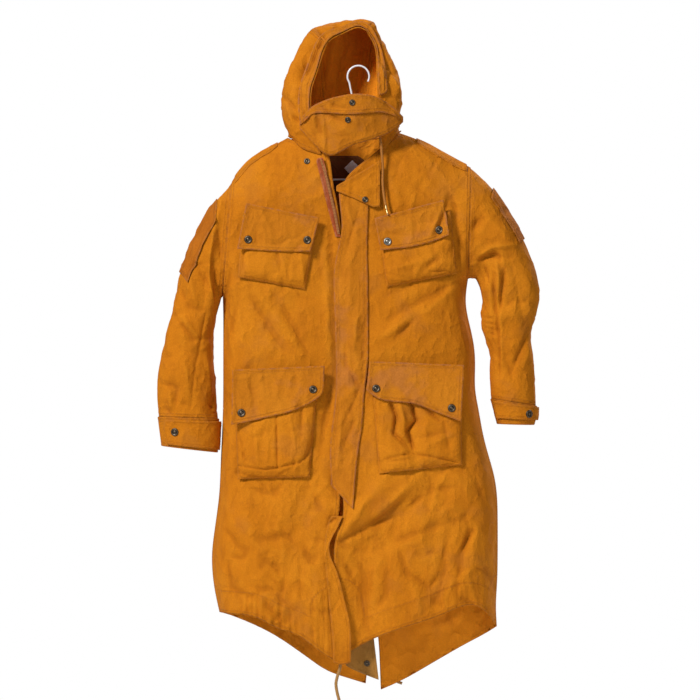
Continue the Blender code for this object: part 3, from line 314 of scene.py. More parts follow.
class Panel:
    """One cut piece of cloth as an open sheet: the outer face of its solid, made finer."""

    def __init__(self, node, facing=FRONT, centre=None, wall_mm=2.0):
        cut = bmesh.new()
        cut.from_mesh(NODES[node].data)
        bmesh.ops.remove_doubles(cut, verts=cut.verts, dist=WELD)
        short = wall_mm * 1.12 * MM
        rim = [face for face in cut.faces if min(edge.calc_length() for edge in face.edges) < short]
        bmesh.ops.delete(cut, geom=rim, context="FACES")
        sheets, seen = [], set()
        for start in cut.faces:
            if start.index in seen:
                continue
            seen.add(start.index)
            sheet, waiting = [], [start]
            while waiting:
                face = waiting.pop()
                sheet.append(face)
                for near in (near for edge in face.edges for near in edge.link_faces):
                    if near.index not in seen:
                        seen.add(near.index)
                        waiting.append(near)
            sheets.append(sheet)

        def shows(face):
            if centre is not None:
                return face.normal.dot(face.calc_center_median() - Vector(centre)) * face.calc_area()
            return (face.normal.dot(Vector(facing)) if facing else 1) * face.calc_area()

        sheets.sort(key=lambda sheet: sum(shows(face) for face in sheet), reverse=True)
        bmesh.ops.delete(cut, geom=[face for sheet in sheets[1:] for face in sheet], context="FACES")
        bmesh.ops.join_triangles(
            cut, faces=cut.faces, angle_face_threshold=math.pi, angle_shape_threshold=math.pi,
        )
        coarse = bpy.data.meshes.new(node + "_coarse")
        cut.to_mesh(coarse)
        cut.free()
        thing = put(node + "_coarse", coarse)
        finer = thing.modifiers.new("finer", "SUBSURF")
        finer.levels = finer.render_levels = 3
        finer.boundary_smooth = "PRESERVE_CORNERS"
        self.mesh = made_of(thing)
        bpy.data.objects.remove(thing)
        self.node = node
        self.read()
        self.edge = self.from_rim()

    def read(self):
        mesh = self.mesh
        self.points = values_of(mesh.vertices, "co", 3)
        self.normals = values_of(mesh.vertices, "normal", 3)
        self.edge_of_loop = values_of(mesh.loops, "edge_index", kind=int)
        self.starts = values_of(mesh.polygons, "loop_start", kind=int)
        sizes = np.diff(np.append(self.starts, len(mesh.loops)))
        self.face_of_loop = np.repeat(np.arange(len(self.starts)), sizes)
        self.ends = values_of(mesh.edges, "vertices", 2, int)
        uses = np.bincount(self.edge_of_loop, minlength=len(self.ends))
        self.rim_ends = self.ends[uses == 1]

    def write(self):
        self.mesh.vertices.foreach_set("co", self.points.astype(np.float32).ravel())
        self.mesh.update()
        self.read()

    def swell(self, height):
        """Moves the cloth out along its normals."""
        self.points += self.normals * height[:, None]
        self.write()

    def push(self, height, way=FRONT):
        """Moves the cloth to the front or the back."""
        self.points[:, 1] += way[1] * height
        self.write()

    def from_rim(self, which=None):
        """Each point's distance to the cloth's cut edge, or to the part of it that `which` picks."""
        ends = self.points[self.rim_ends]
        if which is not None:
            steep = np.abs(ends[:, 1, 2] - ends[:, 0, 2]) > np.abs(ends[:, 1, 0] - ends[:, 0, 0])
            ends = ends[which(ends.mean(axis=1), steep)]
        shares = (np.arange(4) + 0.5) / 4
        marks = np.concatenate([ends[:, 0] + (ends[:, 1] - ends[:, 0]) * share for share in shares])
        tree = kdtree.KDTree(len(marks))
        for index, mark in enumerate(marks):
            tree.insert(mark, index)
        tree.balance()
        return np.array([tree.find(place)[2] for place in self.points])

    def turn_edge(self, out_mm, in_mm, tuck=None):
        """Rolls the cut edge under: a little outwards, then inwards.

        tuck is a height and a reach in mm: at the back, below that height, the edge goes out that far."""
        cut = bmesh.new()
        cut.from_mesh(self.mesh)
        cut.verts.ensure_lookup_table()
        rim = [edge for edge in cut.edges if edge.is_boundary]
        away = {}
        for edge in rim:
            middle = (edge.verts[0].co + edge.verts[1].co) / 2
            along = (edge.verts[1].co - edge.verts[0].co).normalized()
            off = middle - edge.link_faces[0].calc_center_median()
            off -= along * off.dot(along)
            for vert in edge.verts:
                away[vert] = away.get(vert, Vector()) + off.normalized()
        grown = bmesh.ops.extrude_edge_only(cut, edges=rim)
        near = {tuple(round(n, 7) for n in vert.co): vert for vert in away}
        for item in grown["geom"]:
            if isinstance(item, bmesh.types.BMVert):
                base = near[tuple(round(n, 7) for n in item.co)]
                out = tuck[1] if tuck and base.co.z < tuck[0] and base.co.y > 0 else out_mm
                item.co += away[base].normalized() * out * MM - base.normal * in_mm * MM
        bmesh.ops.recalc_face_normals(cut, faces=cut.faces)
        if Vector(self.normals[0]).dot(cut.verts[:][0].normal) < 0:
            bmesh.ops.reverse_faces(cut, faces=cut.faces)
        cut.to_mesh(self.mesh)
        cut.free()
        self.read()

    def relief(self, height, rounds=14):
        """How far each point stands over or under the cloth round it: its ridges and valleys."""
        level = height.copy()
        first, second = self.ends[:, 0], self.ends[:, 1]
        uses = np.bincount(self.ends.ravel(), minlength=len(level))
        for _ in range(rounds):
            total = np.bincount(first, level[second], len(level))
            total += np.bincount(second, level[first], len(level))
            level = total / np.maximum(uses, 1)
        return height - level

    def note(self, name, values):
        """Keeps a value for each point, which the cloth's look reads."""
        layer = self.mesh.attributes.get(name) or self.mesh.attributes.new(name, "FLOAT", "POINT")
        layer.data.foreach_set("value", np.asarray(values, np.float32))

    def tree(self):
        faces = [tuple(polygon.vertices) for polygon in self.mesh.polygons]
        return BVHTree.FromPolygons([Vector(place) for place in self.points], faces)


CREASE_DEPTH = 2.5            # how far out, in mm, a crease goes that its table gives as 1 mm
RIDGE_WIDTH = 0.13            # how broad the crumple's ridges are, as a share of its size
WANDER_SEED = 1795566357      # fixes where the ridges wander, which follows the clock when it isn't set

noise.seed_set(WANDER_SEED)


def crease_height(table, x, z):
    """How far the listed creases push the cloth at each place, in metres. The table is in mm."""
    height = np.zeros(len(x))
    x, z = x / MM, z / MM
    for from_x, from_z, to_x, to_z, spread, out in table:
        along_x, along_z = to_x - from_x, to_z - from_z
        length = math.hypot(along_x, along_z)
        share = ((x - from_x) * along_x + (z - from_z) * along_z) / length**2
        off = ((x - from_x) * along_z - (z - from_z) * along_x) / length
        past = np.maximum(0, np.maximum(-share, share - 1)) * length
        swell = 0.5 + 0.5 * np.sin(math.pi * np.clip(share, 0, 1))
        swell *= CREASE_DEPTH * math.copysign(abs(out) ** 0.8, out)
        height += swell * np.exp(-((np.abs(off) / (0.9 * spread)) ** 1.2) - (past / (1.8 * spread)) ** 1.5)
    return height * MM


def crumple(places, size_mm, seed):
    """The crumple of washed canvas: sharp ridges and valleys over flatter cloth, about -1 to 1."""
    heights = np.zeros(len(places))
    shift = Vector((seed * 7.3, seed * 3.1, seed * 5.7))
    other = Vector((31.7, 7.9, 19.3))
    for index, place in enumerate(places):
        spot = Vector(place) / (size_mm * MM) + shift
        spot += 0.35 * noise.noise_vector(spot * 1.4)
        much = 0.65 + 1.5 * noise.noise(spot * 0.45 + other)
        ridge = math.exp(-abs(noise.noise(spot)) / RIDGE_WIDTH)
        valley = math.exp(-abs(noise.noise(spot * 0.93 + other)) / RIDGE_WIDTH)
        heights[index] = min(1.3, max(0.1, much)) * (ridge - valley)
    return heights


def drift(places, size_mm, seed):
    """Slow waves in the cloth, from about -1 to 1."""
    shift = Vector((seed * 2.9, seed * 8.3, seed * 4.1))
    return np.array([noise.noise(Vector(place) / (size_mm * MM) + shift) for place in places]) * 1.6


# Creases on the front, in mm: from one end (reach, height) to the other, half width, and how far out.
FRONT_CREASES = [
    (-225, -493, -169, -570, 9, -3.2), (-199, -497, -122, -596, 12, 3),
    (-161, -506, -109, -605, 8, -2.6), (-191, -549, -161, -592, 6, -2.2),
    (-272, -446, -289, -506, 8, -4.5), (-255, -497, -276, -575, 10, -3),
    (-261, -480, -238, -596, 9, 2.4), (-285, -515, -259, -626, 8, 2.6), (-45, -617, -88, -832, 16, -5),
    (-62, -318, -52, -480, 9, -3), (-56, -480, -49, -669, 7, -2.6), (-71, -412, -62, -583, 10, 2.2),
    (199, -457, 75, -523, 10, -3.4), (190, -480, 66, -557, 12, 3), (126, -515, 79, -570, 7, -2.4),
    (41, -575, 126, -523, 9, 2), (83, -566, 169, -480, 6, -1.8), (62, -480, 126, -455, 8, -1.6),
    (203, -305, 214, -429, 7, -4), (190, -266, 205, -309, 8, -3), (-28, -592, -28, -628, 7, -2.4),
    (-28, -628, 0, -673, 7, -2.8), (-2, -519, -11, -592, 8, 2), (6, -669, -28, -746, 8, -3),
    (-2, -309, -24, -382, 8, -2.2), (-28, -292, -7, -352, 9, 2), (-37, -746, -45, -840, 9, 2.6),
    (-7, -733, -28, -793, 8, -2.6), (-19, -403, -22, -515, 8, 1.6), (11, -540, 8, -652, 7, -2.2),
    (-217, -343, -214, -382, 7, -1.6), (-174, -382, -161, -425, 7, -1.6),
    (-204, -305, -195, -382, 8, 1.4), (-122, -399, -114, -455, 7, 1.6),
    (186, -288, 163, -356, 7, -4.5), (173, -305, 152, -352, 6, 3.2), (139, -425, 169, -403, 6, -2.6),
    (148, -433, 178, -433, 5, -2.4), (178, -442, 208, -433, 6, -2.6), (83, -425, 130, -412, 6, 1.8),
    (66, -352, 101, -360, 6, -1.2), (-229, -652, -217, -733, 8, -1.8),
    (-204, -652, -199, -695, 7, 1.4), (-135, -639, -131, -673, 6, -1.4),
    (-251, -776, -238, -832, 7, -2), (-217, -763, -212, -832, 6, 1.8), (-118, -712, -122, -780, 7, -2),
    (-144, -733, -131, -810, 6, 1.6), (-92, -776, -114, -832, 6, -2.8), (66, -707, 77, -737, 6, -4),
    (77, -737, 75, -772, 6, -3.6), (75, -772, 105, -802, 6, -4), (109, -707, 120, -746, 5, -4.6),
    (120, -746, 101, -767, 5, -4), (101, -767, 111, -797, 6, -4.8), (130, -716, 165, -742, 6, -2.6),
    (126, -780, 169, -772, 7, -2.2), (152, -793, 199, -772, 7, 2), (88, -725, 96, -763, 6, 3),
    (178, -746, 190, -810, 7, -1.8), (41, -720, 36, -797, 8, 1.6), (49, -832, 126, -823, 6, -1.6),
    (126, -836, 152, -849, 6, -2.2), (-276, -849, -217, -866, 7, -2),
    (-217, -870, -174, -896, 7, -2.6), (-62, -853, -45, -909, 8, -3), (-294, -266, -276, -326, 9, -3),
    (-276, -292, -255, -382, 9, 2.6), (-298, -352, -276, -420, 9, -3), (-264, -326, -257, -386, 7, -2),
    (53, -240, 56, -288, 6, -2.4), (71, -240, 83, -292, 10, 1.8), (109, -249, 152, -283, 9, -1.6),
    (-223, -887, -179, -900, 7, -3), (-179, -900, -161, -875, 6, -2.6), (-196, -875, -185, -894, 6, 2),
    (-99, -891, -80, -933, 7, -2.4), (-91, -871, -103, -906, 6, 2), (-274, -976, -251, -1011, 9, -3),
    (-251, -1011, -233, -1015, 7, -2.6), (-270, -1030, -243, -1032, 7, -3),
    (-243, -1032, -233, -1017, 6, -2.4), (-196, -992, -150, -984, 8, -2.2),
    (-150, -984, -138, -999, 6, -2.4), (-115, -1015, -95, -1046, 10, -4),
    (-95, -995, -72, -995, 8, -2.4), (-208, -1058, -196, -1038, 7, -2.4),
    (-196, -1038, -165, -1058, 7, -2.2), (-185, -1073, -157, -1100, 7, -2.4),
    (-235, -964, -216, -984, 8, 1.6), (-185, -1011, -150, -1030, 9, 2),
    (-223, -995, -196, -1023, 9, 1.8), (-289, -898, -266, -957, 10, 2),
    (-258, -894, -274, -945, 7, -1.8), (-274, -1046, -266, -1096, 8, -3.4),
    (-266, -1096, -235, -1106, 7, -3), (-216, -1096, -177, -1100, 7, -3),
    (-177, -1108, -142, -1135, 7, -3.6), (-142, -1135, -64, -1147, 6, -2.6),
    (-235, -1108, -212, -1096, 7, 2.4), (-196, -1124, -177, -1151, 8, -3),
    (-161, -1139, -177, -1166, 6, -2.2), (-45, -995, 56, -863, 16, 7), (-45, -1001, 37, -957, 9, -6),
    (37, -957, 83, -918, 8, -5), (37, -945, 126, -863, 12, 5), (83, -992, 192, -957, 12, -2.8),
    (25, -961, 80, -945, 8, -2.4), (235, -980, 219, -1011, 5, -6), (219, -1011, 206, -1100, 9, -3.4),
    (247, -984, 231, -1069, 12, 3), (192, -968, 173, -1046, 10, -2.4), (25, -1023, 60, -1046, 8, 2.4),
    (60, -1046, 56, -1108, 9, -3), (56, -1108, 37, -1135, 8, -2.6), (37, -1030, 29, -1155, 10, 2.6),
    (83, -1015, 99, -1061, 8, -3.2), (99, -1061, 146, -1096, 7, -3.2),
    (146, -1096, 165, -1069, 6, -2.6), (146, -1096, 184, -984, 12, 2.4),
    (142, -1108, 184, -1139, 9, -2.2), (115, -1077, 126, -1139, 9, 1.8),
    (-33, -1038, -6, -1089, 6, -4), (-2, -1038, 21, -1100, 9, -3), (6, -1081, 17, -1178, 9, -4),
    (262, -1046, 285, -1100, 7, -2.6), (212, -1116, 250, -1139, 8, -2.4),
    (153, -891, 204, -883, 7, -2.2), (247, -875, 262, -914, 8, -3), (142, -898, 107, -922, 7, -2.4),
    (-18, -1011, 25, -1023, 10, -2.8), (115, -999, 80, -1011, 7, 2), (-64, -961, -41, -945, 5, -3),
]


def hem_gathers(places, hem_far):
    """Small upright puckers where the hem's cord channel is drawn in, most at the wearer's right."""
    reach = places[:, 0] / MM
    pull = np.where(reach < -60, 1.0, 0.35) * np.exp(-np.maximum(0, hem_far / MM - 30) / 16)
    wave = np.sin(reach * 0.46 + 1.7 * np.sin(reach * 0.083)) + 0.5 * np.sin(reach * 0.29 + 2.0)
    return 1.5 * MM * pull * wave


def front_swell(places):
    """What all the cloth on the front shares: creases, crumple and slow waves, in metres out."""
    flat = places * np.array((1.0, 0.0, 0.72))
    height = crease_height(FRONT_CREASES, places[:, 0], places[:, 2])
    lower = np.clip((-places[:, 2] / MM - 780) / 200, 0, 1)
    height += MM * (2.0 + 1.6 * lower) * crumple(flat, 70, 1)
    height += MM * (1.2 + 0.6 * lower) * crumple(flat, 38, 2)
    height += MM * 1.6 * drift(flat, 90, 3)
    return height


def back_swell(places):
    flat = places * np.array((1.0, 0.0, 0.72))
    height = 0.9 * crease_height(FRONT_CREASES, 0.012 - 0.95 * places[:, 0], places[:, 2] + 0.018)
    height += MM * 2.6 * crumple(flat, 74, 4)
    height += MM * 1.3 * crumple(flat, 38, 5)
    height += MM * 1.6 * drift(flat, 95, 6)
    return height


def flat_map(panel, across=0, up=2):
    """The weave's map on a piece that faces front or back: metres along the cloth."""
    return panel.points[:, across], panel.points[:, up]


def map_weave(panel, u, v, wrap=None):
    """Writes the map. Across a tube's seam, where u jumps by a whole turn, the corners are kept together."""
    vertex_of_loop = values_of(panel.mesh.loops, "vertex_index", kind=int)
    across, up = u[vertex_of_loop], v[vertex_of_loop]
    if wrap:
        first = across[panel.starts][panel.face_of_loop]
        across = across - wrap * np.round((across - first) / wrap)
    layer = panel.mesh.uv_layers.new(name="weave")
    layer.data.foreach_set("uv", np.stack([across, up], axis=1).astype(np.float32).ravel())


STITCH_LINES = []


def sew_line(panel, far, level_mm, out_mm=0.15):
    """Marks a row of stitching where the panel's value `far` passes a level, just proud of the cloth."""
    level = level_mm * MM
    low, high = far[panel.ends[:, 0]], far[panel.ends[:, 1]]
    crossed = (low - level) * (high - level) < 0
    spots, spot_of_edge = [], {}
    for index in np.nonzero(crossed)[0]:
        start, end = panel.ends[index]
        share = (level - far[start]) / (far[end] - far[start])
        place = panel.points[start] + (panel.points[end] - panel.points[start]) * share
        spot_of_edge[int(index)] = len(spots)
        spots.append(place + panel.normals[start] * out_mm * MM)
    used = crossed[panel.edge_of_loop]
    by_face = {}
    for face, edge in zip(panel.face_of_loop[used], panel.edge_of_loop[used]):
        by_face.setdefault(int(face), []).append(spot_of_edge[int(edge)])
    links = [tuple(pair) for pair in by_face.values() if len(pair) == 2]
    if links:
        STITCH_LINES.append((spots, links))


YARN_SCALE = 0.314            # the wave texture's scale for yarns one unit apart


def canvas_look(name, base, light, dark, worn, weave_mm=1.15, edge_wear=1.0):
    """Washed canvas: mottled dye, painted highlight and wear on ridges, painted shade in folds and low down,
    rubbed edges, a stitched line and a weave.
    """
    look, tree, shader = new_look(name)
    place = add(tree, "ShaderNodeTexCoord").outputs["Object"]

    def reckon(operation, *values):
        return add(tree, "ShaderNodeMath", dict(enumerate(values)), operation=operation).outputs[0]

    def times(*values):
        return reckon("MULTIPLY", *values)

    def clouds(scale, detail, stretch=(1, 1, 1), rough=0.55, kind="FBM"):
        spot = add(tree, "ShaderNodeMapping", {"Vector": place, "Scale": stretch}).outputs["Vector"]
        sockets = {"Vector": spot, "Scale": scale, "Detail": detail, "Roughness": rough}
        if kind != "FBM":
            sockets["Offset"] = 1.0
        return add(tree, "ShaderNodeTexNoise", sockets, noise_type=kind).outputs["Fac"]

    def blend(share, first, second):
        first, second = [(*value, 1) if isinstance(value, tuple) else value for value in (first, second)]
        sockets = {"Factor": share, "A": first, "B": second}
        return add(tree, "ShaderNodeMix", sockets, data_type="RGBA").outputs["Result"]

    def ramp(value, start, end):
        sockets = {"Value": value, "From Min": start, "From Max": end}
        return add(tree, "ShaderNodeMapRange", sockets, interpolation_type="SMOOTHSTEP").outputs["Result"]

    broad = clouds(7, 3)
    streaks = clouds(38, 5, (1.0, 1.0, 0.35), 0.65)
    fine = clouds(420, 3)
    relief, edge = [
        add(tree, "ShaderNodeAttribute", attribute_name=noted).outputs["Fac"] for noted in ("relief", "edge")
    ]
    height = add(tree, "ShaderNodeSeparateXYZ", {"Vector": place}).outputs["Z"]
    # Painted shade: darker towards the hem, in cloudy patches.
    hem_painted_shade = times(ramp(height, -1.08, -1.25), ramp(clouds(16, 4), 0.35, 0.6))
    rubbed = times(ramp(edge, 4.2, 0.3), ramp(clouds(90, 4), 0.36, 0.62))
    seam_shade = times(ramp(edge, 9.0, 5.5), ramp(edge, 3.5, 5.5))
    seam_shade = times(seam_shade, ramp(clouds(120, 3), 0.35, 0.65))
    colour = base
    for where, much, tint in (
        (ramp(broad, 0.42, 0.62), 0.45, light), (ramp(streaks, 0.5, 0.72), 0.28, light),
        # The relief's valleys get painted shade, and its ridges a painted highlight with wear.
        (ramp(streaks, 0.5, 0.3), 0.26, dark), (ramp(relief, -0.15, -2.4), 0.34, dark),
        (ramp(relief, 0.2, 2.4), 0.35, light), (hem_painted_shade, 0.30, dark),
        (ramp(clouds(13, 6), 0.52, 0.68), 0.30 * edge_wear, worn), (rubbed, 0.62 * edge_wear, worn),
        (seam_shade, 0.40, dark), (ramp(fine, 0.62, 0.42), 0.22, dark),
    ):
        colour = blend(times(where, much), colour, tint)

    cloth_map = add(tree, "ShaderNodeUVMap", uv_map="weave").outputs["UV"]
    weave = times(*[
        add(tree, "ShaderNodeTexWave", {
            "Vector": cloth_map, "Scale": YARN_SCALE / (weave_mm * MM), "Distortion": 0.6, "Detail": 1.0,
            "Detail Scale": 2.0,
        }, bands_direction=direction).outputs["Fac"] for direction in ("X", "Y")
    ])
    groove = times(ramp(edge, 4.6, 5.8), ramp(edge, 7.2, 5.8))
    pucker = times(ramp(edge, 13.0, 4.0), clouds(130, 3))
    crinkle = clouds(34, 5, (1.0, 1.0, 0.75), 0.62, "RIDGED_MULTIFRACTAL")
    bumps = times(weave, 0.10)
    for operation, part, much in (
        ("ADD", fine, 0.10), ("ADD", crinkle, 1.5), ("ADD", pucker, 1.5), ("SUBTRACT", groove, 0.5),
    ):
        bumps = reckon(operation, bumps, times(part, much))
    bump = add(tree, "ShaderNodeBump", {"Strength": 0.75, "Distance": 1.0 * MM, "Height": bumps})
    rough = add(tree, "ShaderNodeMapRange", {"Value": streaks, "To Min": 0.78, "To Max": 0.95})
    fill(shader, {
        "Base Color": colour, "Normal": bump.outputs["Normal"], "Roughness": rough.outputs["Result"],
        "Specular IOR Level": 0.08, "Sheen Weight": 0.02, "Sheen Roughness": 0.5,
        "Sheen Tint": (1.0, 0.55, 0.15, 1.0),
    })
    return look


canvas = canvas_look(
    "mustard_canvas", base=(0.475, 0.148, 0.0045), light=(0.56, 0.195, 0.008), dark=(0.25, 0.064, 0.002),
    worn=(0.34, 0.115, 0.018),
)
rubbed_canvas = canvas_look(
    "rubbed_mustard_canvas", base=(0.455, 0.145, 0.006), light=(0.53, 0.185, 0.010), dark=(0.25, 0.066, 0.003),
    worn=(0.33, 0.115, 0.040), edge_wear=1.4,
)
canvas_inside = canvas_look(
    "mustard_canvas_inside", base=(0.50, 0.145, 0.006), light=(0.58, 0.19, 0.010), dark=(0.30, 0.075, 0.003),
    worn=(0.36, 0.13, 0.02), edge_wear=0.5,
)
# A brighter copy of the inside canvas: painted light on inner faces that sit in shade, inside the back, the
# throat flaps and the hood.
painted_light_inside = canvas_look(
    "canvas_inside_painted_light", base=(0.72, 0.235, 0.010), light=(0.82, 0.29, 0.015), dark=(0.44, 0.12, 0.005),
    worn=(0.50, 0.17, 0.03), edge_wear=0.5,
)


def finish_panel(panel, height, *rows_mm, far_row=None, edge=None, name=None, look=canvas, slot="canvas",
                 rolled=(0.4, 0.9), tuck=None, uv=None, wrap=None, thick=CANVAS_THICK, inside=None):
    """Stitches the sheet's rows, notes what its look reads, rolls its edge and gives it its thickness.

    Each row lies that far from the cut edge. far_row is one more, along another measure."""
    for row_mm in rows_mm:
        sew_line(panel, panel.edge, row_mm)
    if far_row:
        sew_line(panel, *far_row)
    panel.note("relief", panel.relief(height) / MM)
    panel.note("edge", (panel.edge if edge is None else edge) / MM)
    map_weave(panel, *(uv or flat_map(panel)), wrap=wrap)
    panel.turn_edge(*rolled, tuck)
    name = name or "dressed_" + panel.node
    thing = put(name, panel.mesh)
    panel.mesh.materials.clear()
    panel.mesh.materials.append(look)
    panel.mesh.materials.append(inside or look)
    depth = thing.modifiers.new("thickness", "SOLIDIFY")
    depth.thickness = thick
    depth.offset = -1
    depth.use_rim = True
    depth.use_quality_normals = True
    depth.material_offset = 1
    data = made_of(thing)
    thing.modifiers.clear()
    thing.data = data
    data.name = name
    data.shade_smooth()
    data.set_sharp_from_angle(angle=math.radians(62))
    belong(thing, slot, panel.node)


HEM_ROW_EDGE = 4.5 * MM       # along the hem's row the cloth looks as it does this far from a cut edge
SIDE_REACH, SIDE_LOW = 0.205, -0.9      # the side seams lie beyond this reach, and are sewn down to here
SHOULDER_LOW = -0.235         # the seams over the shoulders and round the neck lie above this


def sewn_rim(middles, steep):
    """The side seams down to the hem, and the seams over the shoulders and round the neck."""
    sides = (np.abs(middles[:, 0]) > SIDE_REACH) & (steep | (middles[:, 2] > SIDE_LOW))
    return sides | (middles[:, 2] > SHOULDER_LOW)


panels = {}
for node, way, swell_of, hem_below, gathered, hem_row_mm, inside in (
    ("front_right", FRONT, front_swell, -1.140, 1.0, 47, canvas_inside),
    ("front_left", FRONT, front_swell, -1.120, 1.0, 47, canvas_inside),
    ("back", BACK, back_swell, -1.146, 0.6, 42, painted_light_inside),
):
    panel = panels[node] = Panel(node, way)
    hem_far = panel.from_rim(lambda middles, steep: middles[:, 2] < hem_below)
    swell = swell_of(panel.points) + gathered * hem_gathers(panel.points, hem_far)
    swell *= np.clip(panel.from_rim(sewn_rim) / BODY_EDGE_FADE, 0, 1)
    panel.push(swell, way)
    edge = panel.edge
    if node != "back":
        edge = np.minimum(edge, np.abs(hem_far - hem_row_mm * MM) + HEM_ROW_EDGE)
    finish_panel(panel, swell, 1.8, 7.6, far_row=(hem_far, hem_row_mm), edge=edge, inside=inside)
fronts = [panels["front_right"], panels["front_left"]]


# ---- Sleeves, cuffs and what is sewn on them -------------------------------------------------------
# Two-piece sleeves of the same canvas, with darker worn patches on the upper arm, and straight cuffs
# that a pointed tab with a snap closes. Strap loops lie on the shoulders.

RIGHT_SLEEVE_CREASES = [
    (-291, -271, -289, -294, 7, 3), (-289, -294, -304, -352, 7, 4.5), (-304, -352, -314, -406, 7, 4.5),
    (-314, -406, -314, -443, 7, 4), (-314, -443, -307, -497, 7, 4.5), (-307, -497, -304, -551, 6, 3.5),
    (-295, -352, -289, -410, 7, -3), (-304, -426, -298, -460, 8, -5), (-299, -460, -301, -505, 7, -6),
    (-302, -505, -303, -543, 5, -4), (-370, -422, -316, -415, 5, -2.4),
    (-341, -424, -314, -464, 7, -2.6), (-377, -468, -362, -505, 7, -2.2),
    (-362, -505, -329, -514, 7, -2), (-352, -443, -345, -493, 12, 2.4),
    (-379, -535, -350, -574, 5, -3.2), (-370, -530, -343, -565, 6, 2.2),
    (-350, -576, -308, -572, 8, -1.6), (-321, -518, -331, -576, 4, -1.4),
    (-331, -576, -345, -642, 4, -1.4), (-345, -642, -356, -738, 4, -1.4),
    (-414, -667, -383, -675, 7, -2.4), (-383, -675, -386, -713, 6, -2.4),
    (-408, -717, -390, -742, 6, -2.2), (-399, -688, -395, -709, 7, 2), (-306, -634, -301, -680, 6, -3),
    (-301, -680, -306, -713, 6, -3), (-321, -613, -312, -675, 9, 2.2),
    (-399, -551, -404, -617, 12, 1.8), (-412, -613, -391, -609, 7, -1.6),
    (-366, -617, -360, -667, 10, 1.8), (-374, -709, -360, -713, 6, -1.6),
    (-312, -713, -302, -721, 5, -2.2), (-387, -468, -381, -522, 9, 1.8),
]
LEFT_SLEEVE_CREASES = [
    (216, -354, 254, -322, 10, -3.4), (254, -322, 237, -348, 9, -2.4), (228, -292, 220, -335, 10, 2.4),
    (301, -292, 322, -335, 8, -1.8), (279, -326, 322, -373, 14, 2.6), (252, -400, 279, -383, 6, 3.4),
    (279, -381, 328, -378, 5, 3), (250, -411, 275, -400, 6, -5), (275, -400, 301, -402, 6, -4.5),
    (262, -420, 269, -450, 8, -6), (237, -420, 254, -408, 6, 3), (301, -401, 307, -425, 6, 3.6),
    (306, -425, 299, -480, 6, -5), (299, -480, 296, -515, 5, -5), (289, -412, 294, -446, 6, 4),
    (293, -446, 291, -498, 6, 4.2), (282, -446, 286, -498, 6, -5.5), (286, -498, 283, -523, 6, -5),
    (275, -463, 279, -515, 7, 3), (256, -438, 259, -472, 6, -3), (296, -506, 300, -575, 8, 3.2),
    (300, -575, 301, -626, 8, 2.6), (288, -519, 292, -583, 5, -4), (308, -506, 322, -493, 7, -1.8),
    (322, -493, 369, -498, 8, -1.6), (267, -540, 284, -546, 4, -2), (269, -551, 284, -557, 4, -2),
    (273, -562, 286, -567, 4, -1.8), (262, -528, 279, -532, 4, -1.6), (354, -573, 322, -639, 8, -4),
    (364, -579, 347, -626, 9, 2.6), (309, -618, 322, -652, 9, -2.4), (292, -592, 294, -652, 6, -3),
    (347, -433, 364, -480, 16, 2.4), (322, -420, 347, -540, 10, -1.8), (220, -412, 211, -455, 8, -3),
    (233, -382, 216, -429, 9, 2.4), (211, -382, 233, -369, 7, -2.2),
]
# The middle line of each sleeve, in mm: reach and height.
SLEEVE_LINE = {
    "right": ((-270, -330), (-320, -420), (-345, -530), (-362, -640), (-360, -740), (-357, -815)),
    "left": ((232, -320), (290, -400), (320, -490), (316, -560), (324, -640), (328, -755)),
}
SLEEVE_GIRTH_MM = 340


def sleeve_map(panel, side):
    """Metres round and along the sleeve."""
    line = np.array(SLEEVE_LINE[side], float) * MM
    steps = np.concatenate([[0], np.cumsum(np.linalg.norm(np.diff(line, axis=0), axis=1))])
    flat = panel.points[:, (0, 2)]
    best, along, off = np.full(len(flat), 9.0), np.zeros(len(flat)), np.zeros(len(flat))
    for start, end, run in zip(line, line[1:], steps):
        way = (end - start) / np.linalg.norm(end - start)
        share = np.clip((flat - start) @ way, 0, np.linalg.norm(end - start))
        foot = start + share[:, None] * way
        far = np.linalg.norm(flat - foot, axis=1)
        nearer = far < best
        best = np.where(nearer, far, best)
        along = np.where(nearer, run + share, along)
        off = np.where(nearer, (flat - foot) @ np.array((way[1], -way[0])), off)
    turn = np.arctan2(panel.points[:, 1], off)
    return turn / (2 * math.pi) * SLEEVE_GIRTH_MM * MM, -along


def sleeve_swell(points, normals, side):
    """Folds that the eye sees from the front, their like at the back, and the crumple of the cloth."""
    table = RIGHT_SLEEVE_CREASES if side == "right" else LEFT_SLEEVE_CREASES
    facing = np.clip(-normals[:, 1] * 1.6, 0, 1)
    away = np.clip(normals[:, 1] * 1.6, 0, 1)
    height = facing * crease_height(table, points[:, 0], points[:, 2])
    height += 0.6 * away * crease_height(table, points[:, 0] + 0.012, points[:, 2] + 0.03)
    height += MM * 2.2 * crumple(points * np.array((1, 1, 0.75)), 60, 7 + len(side))
    height += MM * 1.1 * crumple(points, 34, 9)
    height += MM * 1.2 * drift(points, 80, 10 + len(side))
    return height


def clear_of(panel, under_tree, gap_mm=0.5, thick=CANVAS_THICK):
    """Lifts a piece along its own normals until it lies just over what is under it."""
    for index, (place, normal) in enumerate(zip(panel.points, panel.normals)):
        normal = Vector(normal)
        start = Vector(place) + normal * 12 * MM
        hit = under_tree.ray_cast(start, -normal, 24 * MM)[0]
        if hit is not None:
            above = (Vector(place) - hit).dot(normal)
            if above < thick + gap_mm * MM:
                panel.points[index] += np.array(normal) * (thick + gap_mm * MM - above)
    panel.write()


def finish_round(panel, side, height, *rows_mm, lift=0.0, over=None, **more):
    """Swells a piece of a sleeve, lays it over another, and finishes it with its weave mapped round."""
    uv = sleeve_map(panel, side)
    panel.swell(height + lift)
    if over:
        clear_of(panel, over.tree(), 0.3, more["thick"])
    finish_panel(panel, height, *rows_mm, uv=uv, wrap=SLEEVE_GIRTH_MM * MM, **more)


